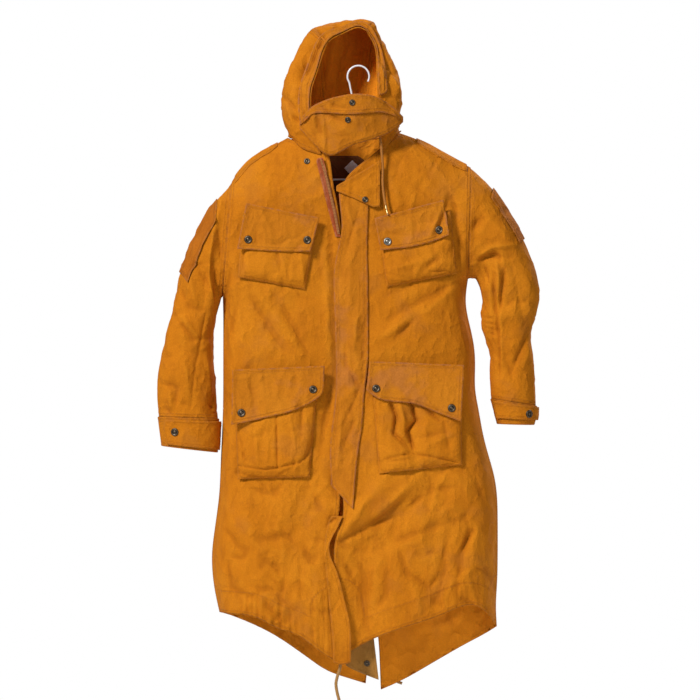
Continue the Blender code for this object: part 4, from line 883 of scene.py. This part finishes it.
for side in ("right", "left"):
    sleeve = panels["sleeve_" + side] = Panel("sleeve_" + side, facing=None)
    height = sleeve_swell(sleeve.points, sleeve.normals, side) * np.clip(sleeve.edge / (12 * MM), 0, 1)
    finish_round(sleeve, side, height, 2.0, 8.0, rolled=(1.2, 1.2), inside=canvas_inside)

    cuff = Panel("cuff_" + side, facing=None)
    height = 0.7 * MM * crumple(cuff.points, 40, 12) + 0.9 * MM * drift(cuff.points, 50, 13)
    height *= np.clip(cuff.edge / (8 * MM), 0.2, 1)
    finish_round(cuff, side, height, 2.4, 8.6, rolled=(0.8, 1.0), inside=canvas_inside)


worn_canvas = canvas_look(
    "worn_dark_canvas", base=(0.37, 0.105, 0.006), light=(0.46, 0.15, 0.010), dark=(0.20, 0.05, 0.002),
    worn=(0.36, 0.15, 0.05),
)
for side, outwards in (("right", -1), ("left", 1)):
    patch = Panel("arm_patch_" + side, facing=(outwards, 0, 0.6))
    finish_round(
        patch, side, sleeve_swell(patch.points, patch.normals, side), 2.0, 7.5, over=panels["sleeve_" + side],
        look=worn_canvas, slot="worn_canvas", thick=1.2 * MM,
    )

    tab = panels["cuff_tab_" + side] = Panel("cuff_tab_" + side)
    finish_round(tab, side, 0.5 * MM * crumple(tab.points, 34, 14), 3.4, lift=0.6 * MM)

    loop = Panel("epaulette_" + side, facing=(0, 0, 1))
    height = 0.9 * MM * np.abs(crumple(loop.points, 36, 15)) + 0.8 * MM
    under = [panels[node].tree() for node in ("front_" + side, "back", "sleeve_" + side)]
    for index, (x, y, _) in enumerate(loop.points):
        tops = [tree.ray_cast(Vector((x, y, 0.0)), Vector((0, 0, -1)))[0] for tree in under]
        tops = [top.z for top in tops if top is not None]
        if tops:
            loop.points[index, 2] = max(tops) + CANVAS_THICK
    loop.points[:, 2] += height
    loop.write()
    finish_panel(loop, height, 3.0, uv=flat_map(loop, 0, 1))


# ---- The closure: zip, storm placket, edge strip and inner flap -----------------------------------
# A coarse zip on a red-brown tape, worn pale along its edge, under a canvas placket. Below the
# placket the front's turned edge hangs loose as a strip, over an olive-brown inner flap.

def lay_on(panel, under, own, thick=CANVAS_THICK, gap_mm=0.45):
    """Moves a piece with the front it lies on, adds its own swell, and keeps it over what is under it."""
    height = front_swell(panel.points) + own
    panel.points[:, 1] -= height
    trees = [piece.tree() for piece in under]
    for index, place in enumerate(panel.points):
        hits = [tree.ray_cast(Vector((place[0], -1.0, place[2])), Vector(BACK))[0] for tree in trees]
        tops = [hit.y for hit in hits if hit is not None]
        if tops:
            panel.points[index, 1] = min(place[1], min(tops) - thick - gap_mm * MM)
    panel.write()
    return height


tape_look = canvas_look(
    "red_brown_tape", base=(0.30, 0.060, 0.018), light=(0.38, 0.095, 0.035), dark=(0.17, 0.032, 0.010),
    worn=(0.40, 0.15, 0.07), weave_mm=1.6, edge_wear=1.3,
)
facing_look = canvas_look(
    "olive_facing", base=(0.33, 0.15, 0.028), light=(0.41, 0.20, 0.045), dark=(0.19, 0.08, 0.014),
    worn=(0.24, 0.13, 0.05),
)
TAPE_THICK = 1.0 * MM
tape = Panel("zip_tape", wall_mm=1.2)
height = lay_on(tape, fronts[:1], 0.3 * MM * drift(tape.points, 30, 16), TAPE_THICK, gap_mm=0.3)
finish_panel(
    tape, height, 3.0, name="worn_zip_tape", look=tape_look, slot="zip_tape", thick=TAPE_THICK,
    rolled=(0.2, 0.5),
)

placket = Panel("placket")
upright = np.exp(-((placket.points[:, 0] / MM + 12) / 14) ** 2)
own = 1.8 * MM * np.abs(crumple(placket.points * np.array((1, 0, 0.5)), 42, 17)) + 1.6 * MM * upright
finish_panel(placket, lay_on(placket, fronts + [tape], own), 2.4, 9.0, look=rubbed_canvas)

edge_strip = Panel("edge_strip")
own = 0.6 * MM * np.abs(crumple(edge_strip.points, 34, 18))
finish_panel(edge_strip, lay_on(edge_strip, fronts, own), 2.6)

underlap = panels["underlap"] = Panel("underlap")
height = 1.0 * MM * crumple(underlap.points, 36, 19) + 1.2 * MM * drift(underlap.points, 45, 20)
underlap.push(height)
finish_panel(underlap, height, 3.0, look=facing_look, slot="facing")


# ---- Pockets ----------------------------------------------------------------------------------------
# Two chest pockets and two large bellows pockets with a pleat up the middle, each under a pointed or
# slanted flap that two snaps close. Flaps are two layers, stitched round and rubbed pale at the edges.

# Narrow seams and folds of the pocket bags, in mm, as the front's creases.
BAG_SEAMS = {
    "lower_pocket_right": [
        (-173, -735, -170, -842, 2.4, -2.6), (-262, -838, -197, -848, 3, -2.2),
        (-197, -848, -170, -844, 3, -2.2), (-170, -844, -124, -833, 3, -2.2), (-124, -833, -99, -808, 3, -2.0),
    ],
    "lower_pocket_left": [
        (54, -826, 86, -818, 3, -2.4), (86, -818, 109, -814, 3, -2.4), (109, -814, 149, -820, 3, -2.4),
        (149, -820, 206, -833, 3, -2.2), (66, -704, 78, -737, 3, -4), (78, -737, 73, -772, 3, -4),
        (73, -772, 90, -792, 3, -3.4), (106, -700, 120, -744, 3, -4.6), (120, -744, 103, -765, 3, -4.4),
        (103, -765, 114, -802, 3, -4.4), (88, -716, 98, -752, 3, 2.6), (132, -712, 166, -744, 3, -2.6),
    ],
    "chest_pocket_right": [(-244, -432, -240, -380, 3, -1.4)],
    "chest_pocket_left": [(196, -400, 200, -330, 3, -1.4)],
}
for level in ("chest", "lower"):
    for side in ("right", "left"):
        node = level + "_pocket_" + side
        bag = Panel(node)
        own = 1.1 * MM * crumple(bag.points * np.array((1, 0.4, 1)), 36, 21 + len(node)) + 0.8 * MM
        own += crease_height(BAG_SEAMS[node], bag.points[:, 0], bag.points[:, 2])
        finish_panel(bag, lay_on(bag, fronts, own * np.clip(bag.edge / (6 * MM), 0, 1)), 3.0)

        node = level + "_flap_" + side
        flap = panels[node] = Panel(node)
        hang = np.clip((flap.points[:, 2].max() - flap.points[:, 2]) / (60 * MM), 0, 1)
        own = hang * MM * (1.6 + 1.4 * crumple(flap.points * np.array((1, 0, 1)), 50, 23 + len(node)))
        finish_panel(flap, lay_on(flap, fronts + [bag, placket], own), 2.2, 8.0, look=rubbed_canvas)


# ---- The neck: collar tab, dark patch, bare label and throat flaps ---------------------------------
# Inside the back neck a dark brown twill patch carries a pale woven label, left bare. A pointed tab
# closes the collar, and a two-layer throat flap snaps across the hood's mouth.

collar_tab = panels["collar_tab"] = Panel("collar_tab")
own = MM * (0.8 + 0.8 * crumple(collar_tab.points * np.array((1, 0, 1)), 34, 25))
finish_panel(collar_tab, lay_on(collar_tab, fronts + [placket, tape], own), 2.6, 8.2)

twill = canvas_look(
    "dark_brown_twill", base=(0.15, 0.052, 0.016), light=(0.21, 0.078, 0.026), dark=(0.07, 0.022, 0.008),
    worn=(0.10, 0.05, 0.02), weave_mm=1.4,
)
label_look = canvas_look(
    "pale_woven_label", base=(0.88, 0.90, 0.92), light=(0.95, 0.95, 0.96), dark=(0.62, 0.64, 0.68),
    worn=(0.62, 0.62, 0.62), weave_mm=0.7, edge_wear=0.4,
)
for node, name, look, slot, wall_mm, rows_mm in (
    ("neck_patch", "dressed_neck_patch", twill, "neck_twill", 1.2, (2.4,)),
    ("neck_label", "bare_neck_label", label_look, "label", 1.0, ()),
):
    inner = Panel(node, wall_mm=wall_mm)
    height = 0.4 * MM * drift(inner.points, 40, 26) + 0.4 * MM
    inner.push(height)
    finish_panel(
        inner, height, *rows_mm, name=name, look=look, slot=slot, thick=wall_mm * 0.8 * MM,
        rolled=(0.2, 0.4),
    )

THROAT_CREASES = [
    (-81, -86, -63, -107, 6, -2.6), (-63, -107, -39, -116, 6, -3), (-89, -107, -84, -136, 7, -3),
    (-84, -136, -75, -145, 6, -2.2), (-69, -122, -66, -166, 7, -2.4), (-92, -92, -94, -128, 7, 2.4),
    (-60, -80, -48, -89, 5, -2.2), (-48, -89, -22, -92, 6, -1.8), (-10, -160, 49, -145, 8, 2),
    (-45, -128, -4, -145, 14, 2.2), (55, -75, 73, -98, 7, -2.4), (67, -92, 81, -116, 7, 2.2),
    (-75, -113, -72, -181, 8, 2), (-98, -134, -87, -175, 8, -2), (-22, -107, 2, -128, 8, 1.6),
]
for node in ("throat_flap", "throat_flap_upper"):
    flap = panels[node] = Panel(node)
    height = crease_height(THROAT_CREASES, flap.points[:, 0], flap.points[:, 2])
    height += MM * (0.6 * crumple(flap.points, 40, 27) + 0.8 * drift(flap.points, 60, 27))
    flap.swell(height)
    finish_panel(flap, height, 2.4, 8.0, look=rubbed_canvas, inside=painted_light_inside)


# ---- The hood -----------------------------------------------------------------------------------------
# Two sides and a centre strip, seamed over the crown, with a doubled brim that holds the drawcord.

HOOD_CREASES = [
    (-84, 73, -72, 58, 9, -3), (-72, 58, -89, 40, 8, -3.4), (-89, 40, -101, 8, 9, -3.4),
    (-101, 8, -120, -19, 10, -3), (-63, 64, -89, 14, 9, 2.6), (-98, 76, -128, 14, 16, 3),
    (-134, 14, -148, -39, 14, 2.4), (-113, 14, -123, -39, 8, -4), (-123, -39, -126, -86, 7, -4),
    (-116, -27, -121, -57, 7, 3), (-154, -69, -131, -95, 7, -3), (-142, -104, -125, -119, 6, -3),
    (-151, -86, -140, -116, 8, 2.2), (-123, -86, -98, -145, 7, -2.6), (-117, -104, -113, -128, 8, 2),
    (-60, 79, -33, 93, 8, -2.4), (-57, 85, -10, 99, 9, 2), (2, 93, 20, 79, 7, -3.4),
    (20, 79, 31, 61, 7, -3.4), (14, 96, 37, 85, 8, 2.4), (46, 49, 40, 14, 7, -2.4),
    (58, 14, 78, -27, 9, -2), (49, -4, 52, -51, 8, 2.2), (70, -16, 84, -51, 9, 2),
    (-31, 37, -10, 20, 7, -3.4), (-10, 20, 2, 11, 6, -3), (-28, 26, -10, 11, 9, 3),
    (14, 11, 37, -16, 7, -3), (8, 26, 37, 20, 6, 2.6), (-54, 14, -81, -27, 10, -2.6),
]
HOOD_MIDDLE = (-0.035, 0.03, -0.03)


def hood_swell(points, normals):
    facing = np.clip(-normals[:, 1] * 1.8 + 0.35, 0, 1)
    height = 1.5 * facing * crease_height(HOOD_CREASES, points[:, 0], points[:, 2])
    behind = crease_height(FRONT_CREASES, points[:, 0] * 1.5 + 0.03, points[:, 2] * 1.5 - 0.75)
    height += 0.6 * (1 - facing) * behind
    height += MM * (2.2 * crumple(points, 56, 29) + 1.0 * crumple(points, 32, 30) + 2.0 * drift(points, 75, 31))
    return height


for node, across, look, turned_mm in (
    ("hood_right", 1, canvas, 2.0), ("hood_left", 1, canvas, 2.0), ("hood_centre", 0, canvas, 2.0),
    ("hood_brim", 1, rubbed_canvas, 0.6),
):
    part = Panel(node, centre=HOOD_MIDDLE)
    height = hood_swell(part.points, part.normals) * np.clip(part.edge / (10 * MM), 0, 1)
    uv = flat_map(part, across)
    if node == "hood_centre":
        turn = np.arctan2(part.points[:, 2] - HOOD_MIDDLE[2], part.points[:, 1] - HOOD_MIDDLE[1])
        uv = (part.points[:, 0], turn * 0.1)
    part.swell(height)
    finish_panel(
        part, height, 2.0, 7.6, uv=uv, look=look, rolled=(turned_mm, 1.4), tuck=(-0.12, 6.0),
        inside=painted_light_inside,
    )


# ---- Zip chain --------------------------------------------------------------------------------------
# Moulded teeth, beige with age, along the free edge of the zip tape, with the row that sews them on.

TOOTH_PITCH_MM = 3.2
TOOTH_SIZE_MM = (5.2, 1.8, 1.9)
# The chain's line down the tape, in mm: reach and height.
ZIP_LINE = ((-80, -197), (-70, -230), (-58, -280), (-49, -320), (-43, -353))


def row_on(panel, knots, step_mm, out_mm):
    """Points along a line seen from the front, laid on a piece's cloth."""
    tree = panel.tree()
    knots = np.array(knots, float)
    run = np.concatenate([[0], np.cumsum(np.linalg.norm(np.diff(knots, axis=0), axis=1))])
    spots = []
    for place in np.arange(0, run[-1], step_mm):
        x, z = np.interp(place, run, knots[:, 0]) * MM, np.interp(place, run, knots[:, 1]) * MM
        hit = tree.ray_cast(Vector((x, -1.0, z)), Vector(BACK))[0]
        if hit is not None:
            spots.append((x, hit.y - out_mm * MM, z))
    return spots


def new_tree(name, *inputs):
    """A new tree that takes a geometry, the named inputs and a finish, and what its input node gives."""
    tree = bpy.data.node_groups.new(name, "GeometryNodeTree")
    for title, kind in (("Geometry", "Geometry"), *inputs, ("Finish", "Material")):
        tree.interface.new_socket(title, in_out="INPUT", socket_type="NodeSocket" + kind)
    tree.interface.new_socket("Geometry", in_out="OUTPUT", socket_type="NodeSocketGeometry")
    return tree, add(tree, "NodeGroupInput").outputs


def repeat(tree, given, sockets):
    """Ends a tree: a shape at each point, made into plain faces, with the finish that is given."""
    placed = add(tree, "GeometryNodeInstanceOnPoints", sockets).outputs["Instances"]
    plain = add(tree, "GeometryNodeRealizeInstances", {"Geometry": placed}).outputs["Geometry"]
    dressed = add(tree, "GeometryNodeSetMaterial", {"Geometry": plain, "Material": given["Finish"]})
    add(tree, "NodeGroupOutput", {"Geometry": dressed.outputs["Geometry"]})


def grow(name, points, links, tree, values, slot, nodes=(), **noted):
    """Runs a tree on points or lines and keeps its result as a plain mesh.

    noted is a value or a direction for each point, by the name that the tree reads."""
    data = bpy.data.meshes.new(name)
    data.from_pydata(points, links, [])
    for title, rows in noted.items():
        rows = np.array(rows, np.float32)
        kind, field = ("FLOAT_VECTOR", "vector") if rows.ndim == 2 else ("FLOAT", "value")
        data.attributes.new(title, kind, "POINT").data.foreach_set(field, rows.ravel())
    thing = put(name, data)
    step = thing.modifiers.new("made", "NODES")
    step.node_group = tree
    for item in tree.interface.items_tree:
        if item.in_out == "INPUT" and item.name in values:
            step[item.identifier] = values[item.name]
    made = made_of(thing)
    thing.modifiers.clear()
    thing.data = made
    made.name = name
    return belong(thing, slot, *nodes)


teeth_tree, given = new_tree("zip_teeth", ("Tooth", "Vector"))
tooth = add(teeth_tree, "GeometryNodeMeshCube", {"Size": given["Tooth"]})
lean = add(teeth_tree, "FunctionNodeEulerToRotation", {"Euler": (0, 0.24, 0)})
repeat(teeth_tree, given, {
    "Points": given["Geometry"], "Instance": tooth.outputs["Mesh"], "Rotation": lean.outputs["Rotation"],
})

aged_plastic = plain_look("aged_zip_teeth", (0.42, 0.165, 0.040), 0.5, speckle=0.2, grain=500)
zip_teeth = grow(
    "zip_teeth", row_on(tape, ZIP_LINE, TOOTH_PITCH_MM, TOOTH_SIZE_MM[1] / 2), [], teeth_tree,
    {"Tooth": [size * MM for size in TOOTH_SIZE_MM], "Finish": aged_plastic}, "zip_tape",
)
zip_teeth.data.set_sharp_from_angle(angle=math.radians(30))


# ---- Snaps ------------------------------------------------------------------------------------------
# Ring snaps of dark aged metal, pressed through the cloth: large ones on the pockets and cuffs, small
# ones at the throat, the neck and the hem. Years of use have polished their crowns and rings.

SNAP_HALF_MM = {"large": 8.4, "small": 6.5}
# Name, what it is pressed into, reach and height in mm, and size.
SNAPS = [
    ("throat_upper", "throat_flap_upper", -14, -80, "small"),
    ("throat_lower", "throat_flap", -23, -116, "small"),
    ("neck", "front_right", -109, -201, "small"), ("collar_tab", "collar_tab", 13, -282, "small"),
    ("chest_right_outer", "chest_flap_right", -232, -366, "large"),
    ("chest_right_inner", "chest_flap_right", -108, -367, "large"),
    ("chest_left_inner", "chest_flap_left", 60, -370, "large"),
    ("chest_left_outer", "chest_flap_left", 168, -346, "large"),
    ("lower_right_outer", "lower_flap_right", -246, -729, "large"),
    ("lower_right_inner", "lower_flap_right", -96, -680, "large"),
    ("lower_left_inner", "lower_flap_left", 36, -678, "large"),
    ("lower_left_outer", "lower_flap_left", 194, -719, "large"),
    ("cuff_right", "cuff_tab_right", -387, -770, "large"), ("cuff_left", "cuff_tab_left", 358, -732, "large"),
    ("hem", "underlap", 17, -1255, "small"),
]
WORN_SNAP = "chest_left_inner"       # rubbed brighter than the rest
# The cap's section for a half width of one: reach, height, and how much it rubs bright.
CAP_SECTION = [
    (0.07, 0.30, 0.9), (0.20, 0.295, 1.0), (0.32, 0.26, 0.6), (0.40, 0.19, 0.0), (0.47, 0.175, 0.0),
    (0.55, 0.21, 0.3), (0.66, 0.27, 0.9), (0.78, 0.285, 1.0), (0.89, 0.24, 0.6), (0.97, 0.14, 0.3),
    (1.0, 0.04, 0.1), (0.98, -0.10, 0.0),
]
CAP_SIDES = 36

cap = bmesh.new()
rub = cap.verts.layers.float.new("rub")
rings = []
for reach, height, bright in CAP_SECTION:
    ring = []
    for step in range(CAP_SIDES):
        turn = 2 * math.pi * step / CAP_SIDES
        vert = cap.verts.new((reach * math.cos(turn), reach * math.sin(turn), height))
        vert[rub] = bright
        ring.append(vert)
    rings.append(ring)
for inner, outer in zip(rings, rings[1:]):
    for step in range(CAP_SIDES):
        ahead = (step + 1) % CAP_SIDES
        cap.faces.new((inner[step], outer[step], outer[ahead], inner[ahead]))
for ring in (rings[0], list(reversed(rings[-1]))):
    cap.faces.new(ring)
bmesh.ops.recalc_face_normals(cap, faces=cap.faces)
cap_mesh = bpy.data.meshes.new("snap_cap")
cap.to_mesh(cap_mesh)
cap.free()
cap_mesh.shade_smooth()
cap_shape = put("snap_cap", cap_mesh)

snap_tree, given = new_tree("pressed_snaps", ("Cap", "Object"))
out_way, half_width = [
    add(snap_tree, "GeometryNodeInputNamedAttribute", {"Name": title}, data_type=kind).outputs["Attribute"]
    for title, kind in (("out", "FLOAT_VECTOR"), ("half", "FLOAT"))
]
one_cap = add(snap_tree, "GeometryNodeObjectInfo", {"Object": given["Cap"]})
turned = add(snap_tree, "FunctionNodeAlignRotationToVector", {"Vector": out_way}, axis="Z")
repeat(snap_tree, given, {
    "Points": given["Geometry"], "Instance": one_cap.outputs["Geometry"],
    "Rotation": turned.outputs["Rotation"], "Scale": half_width,
})


def snap_look(name, dark, bright, most):
    """Aged metal: dark in its ring's groove, polished where thumbs rub it."""
    look = plain_look(name, dark, 0.42, metallic=1.0, speckle=0.3, grain=700, bump=0.25)
    tree = look.node_tree
    shader = tree.nodes["Principled BSDF"]
    place = add(tree, "ShaderNodeTexCoord").outputs["Object"]
    patchy = add(tree, "ShaderNodeTexNoise", {"Vector": place, "Scale": 260}).outputs["Fac"]
    share = add(tree, "ShaderNodeAttribute", attribute_name="rub").outputs["Fac"]
    for much in (patchy, most * 1.5):
        share = add(tree, "ShaderNodeMath", {0: share, 1: much}, operation="MULTIPLY").outputs[0]
    before = shader.inputs["Base Color"].links[0].from_socket
    sockets = {"Factor": share, "A": before, "B": (*bright, 1)}
    tint = add(tree, "ShaderNodeMix", sockets, data_type="RGBA").outputs["Result"]
    fill(shader, {"Base Color": tint})
    return look


def seat(panel, x, z, half):
    """Where a snap sits on the cloth, and which way it faces."""
    tree = panel.tree()
    spots, facing = [], Vector()
    for turn in range(9):
        reach = 0 if turn == 8 else 0.85 * half
        angle = turn * math.pi / 4
        start = Vector((x + reach * math.cos(angle), -1.0, z + reach * math.sin(angle)))
        hit, normal, _, _ = tree.ray_cast(start, Vector(BACK))
        if hit is not None:
            spots.append(hit)
            facing += normal if normal.y < 0 else -normal
    out = facing.normalized()
    middle = min(spots, key=lambda spot: (spot.x - x) ** 2 + (spot.z - z) ** 2)
    lift = max(0.0, max((spot - middle).dot(out) for spot in spots)) * 0.6
    return middle + out * (lift + 0.2 * MM), out


for group, worn, look in (
    ("dark_snaps", False, snap_look("aged_snap", (0.035, 0.027, 0.020), (0.24, 0.185, 0.13), 0.6)),
    ("worn_snap", True, snap_look("worn_snap", (0.10, 0.09, 0.08), (0.45, 0.43, 0.39), 0.8)),
):
    rows = [row for row in SNAPS if (row[0] == WORN_SNAP) == worn]
    halves = [SNAP_HALF_MM[row[4]] * MM for row in rows]
    seats = [seat(panels[row[1]], row[2] * MM, row[3] * MM, half) for row, half in zip(rows, halves)]
    grow(
        group, [tuple(place) for place, _ in seats], [], snap_tree, {"Cap": cap_shape, "Finish": look},
        "snap_metal", ["snap_" + row[0] for row in rows], out=[tuple(out) for _, out in seats], half=halves,
    )
bpy.data.objects.remove(cap_shape)


# ---- Stitching ----------------------------------------------------------------------------------------
# Two rows of heavy mustard thread along every seam and edge, about three stitches to the centimetre.

STITCH_PITCH_MM, STITCH_LONG_MM, STITCH_WIDE_MM = 3.4, 2.7, 0.62
stitch_tree, given = new_tree("stitches", ("Stitch", "Object"), ("Pitch", "Float"), ("Size", "Vector"))
lines = add(stitch_tree, "GeometryNodeMeshToCurve", {"Mesh": given["Geometry"]}).outputs["Curve"]
even = add(stitch_tree, "GeometryNodeResampleCurve", {"Curve": lines, "Length": given["Pitch"]}, mode="LENGTH")
along = add(stitch_tree, "GeometryNodeInputTangent").outputs["Tangent"]
turned = add(stitch_tree, "FunctionNodeAlignRotationToVector", {"Vector": along}, axis="X")
one_stitch = add(stitch_tree, "GeometryNodeObjectInfo", {"Object": given["Stitch"]})
repeat(stitch_tree, given, {
    "Points": even.outputs["Curve"], "Instance": one_stitch.outputs["Geometry"],
    "Rotation": turned.outputs["Rotation"], "Scale": given["Size"],
})

stitch_mesh = bpy.data.meshes.new("stitch")
stitch_mesh.from_pydata(
    [(-0.5, 0, -0.3), (0.5, 0, -0.3), (0, -0.5, 0), (0, 0.5, 0), (-0.22, 0, 0.5), (0.22, 0, 0.5)], [],
    [(0, 2, 4), (2, 5, 4), (2, 1, 5), (0, 4, 3), (4, 5, 3), (5, 1, 3), (0, 3, 2), (1, 2, 3)],
)
stitch_shape = put("stitch", stitch_mesh)
thread = plain_look("mustard_thread", (0.36, 0.115, 0.008), 0.7, speckle=0.3, grain=900)
spots, links = [], []
for line_spots, line_links in STITCH_LINES:
    first = len(spots)
    spots += [tuple(place) for place in line_spots]
    links += [(first + start, first + end) for start, end in line_links]
stitches = grow(
    "seam_stitches", spots, links, stitch_tree, {
        "Stitch": stitch_shape, "Pitch": STITCH_PITCH_MM * MM, "Finish": thread,
        "Size": [STITCH_LONG_MM * MM, STITCH_WIDE_MM * MM, STITCH_WIDE_MM * MM],
    }, "canvas",
)
bpy.data.objects.remove(stitch_shape)
stitches.data.shade_smooth()


# ---- The hanger -----------------------------------------------------------------------------------------
# One length of steel wire in a white plastic coat: the hook, the shank, two sloping arms and the bar.

WIRE = 4.0
HOOK_TURN = 23.0                     # radius of the hook's middle line
ARM_END_HEIGHT, BAR_HEIGHT = -196, -238
END_TURN, END_RISE = 16, 19          # half sizes of the loop at each end
END_CENTRE = {"right": -198, "left": 174}
END_MIDDLE = -219


def arc(centre, half_width, half_height, angles):
    """Points of an arc in the plane seen from the front."""
    turns = [math.radians(angle) for angle in angles]
    return [(centre[0] + half_width * math.cos(t), 0, centre[1] + half_height * math.sin(t)) for t in turns]


wire_route = smooth_route(
    arc((-1.0, WIRE / 2 - HOOK_TURN), HOOK_TURN, HOOK_TURN, range(-28, 215, 22))
    + [(-18, 0, -44), (-15, 0, -58), (-12, 0, -72), (-11, 0, -88), (-11, 0, -100)]
    + [(-2, 0, -108), (60, 0, -139), (125, 0, -171), (172, 0, ARM_END_HEIGHT + 2)]
    + arc((END_CENTRE["left"], END_MIDDLE), END_TURN, END_RISE, (60, 20, -20, -60))
    + [(reach, 0, BAR_HEIGHT) for reach in (140, 60, -20, -100, -165)]
    + arc((END_CENTRE["right"], END_MIDDLE), -END_TURN, END_RISE, (-60, -20, 20, 60))
    + [(-196, 0, ARM_END_HEIGHT + 1), (-150, 0, -174), (-85, 0, -142), (-26, 0, -113)], 2.0,
)
coat = plain_look("white_plastic_coat", (0.72, 0.73, 0.75), 0.28, speckle=0.05, grain=200, bump=0.05)
wear(rod_mesh("coated_wire_hanger", wire_route, WIRE / 2 * MM, 20), coat, "coated_wire", "hanger")
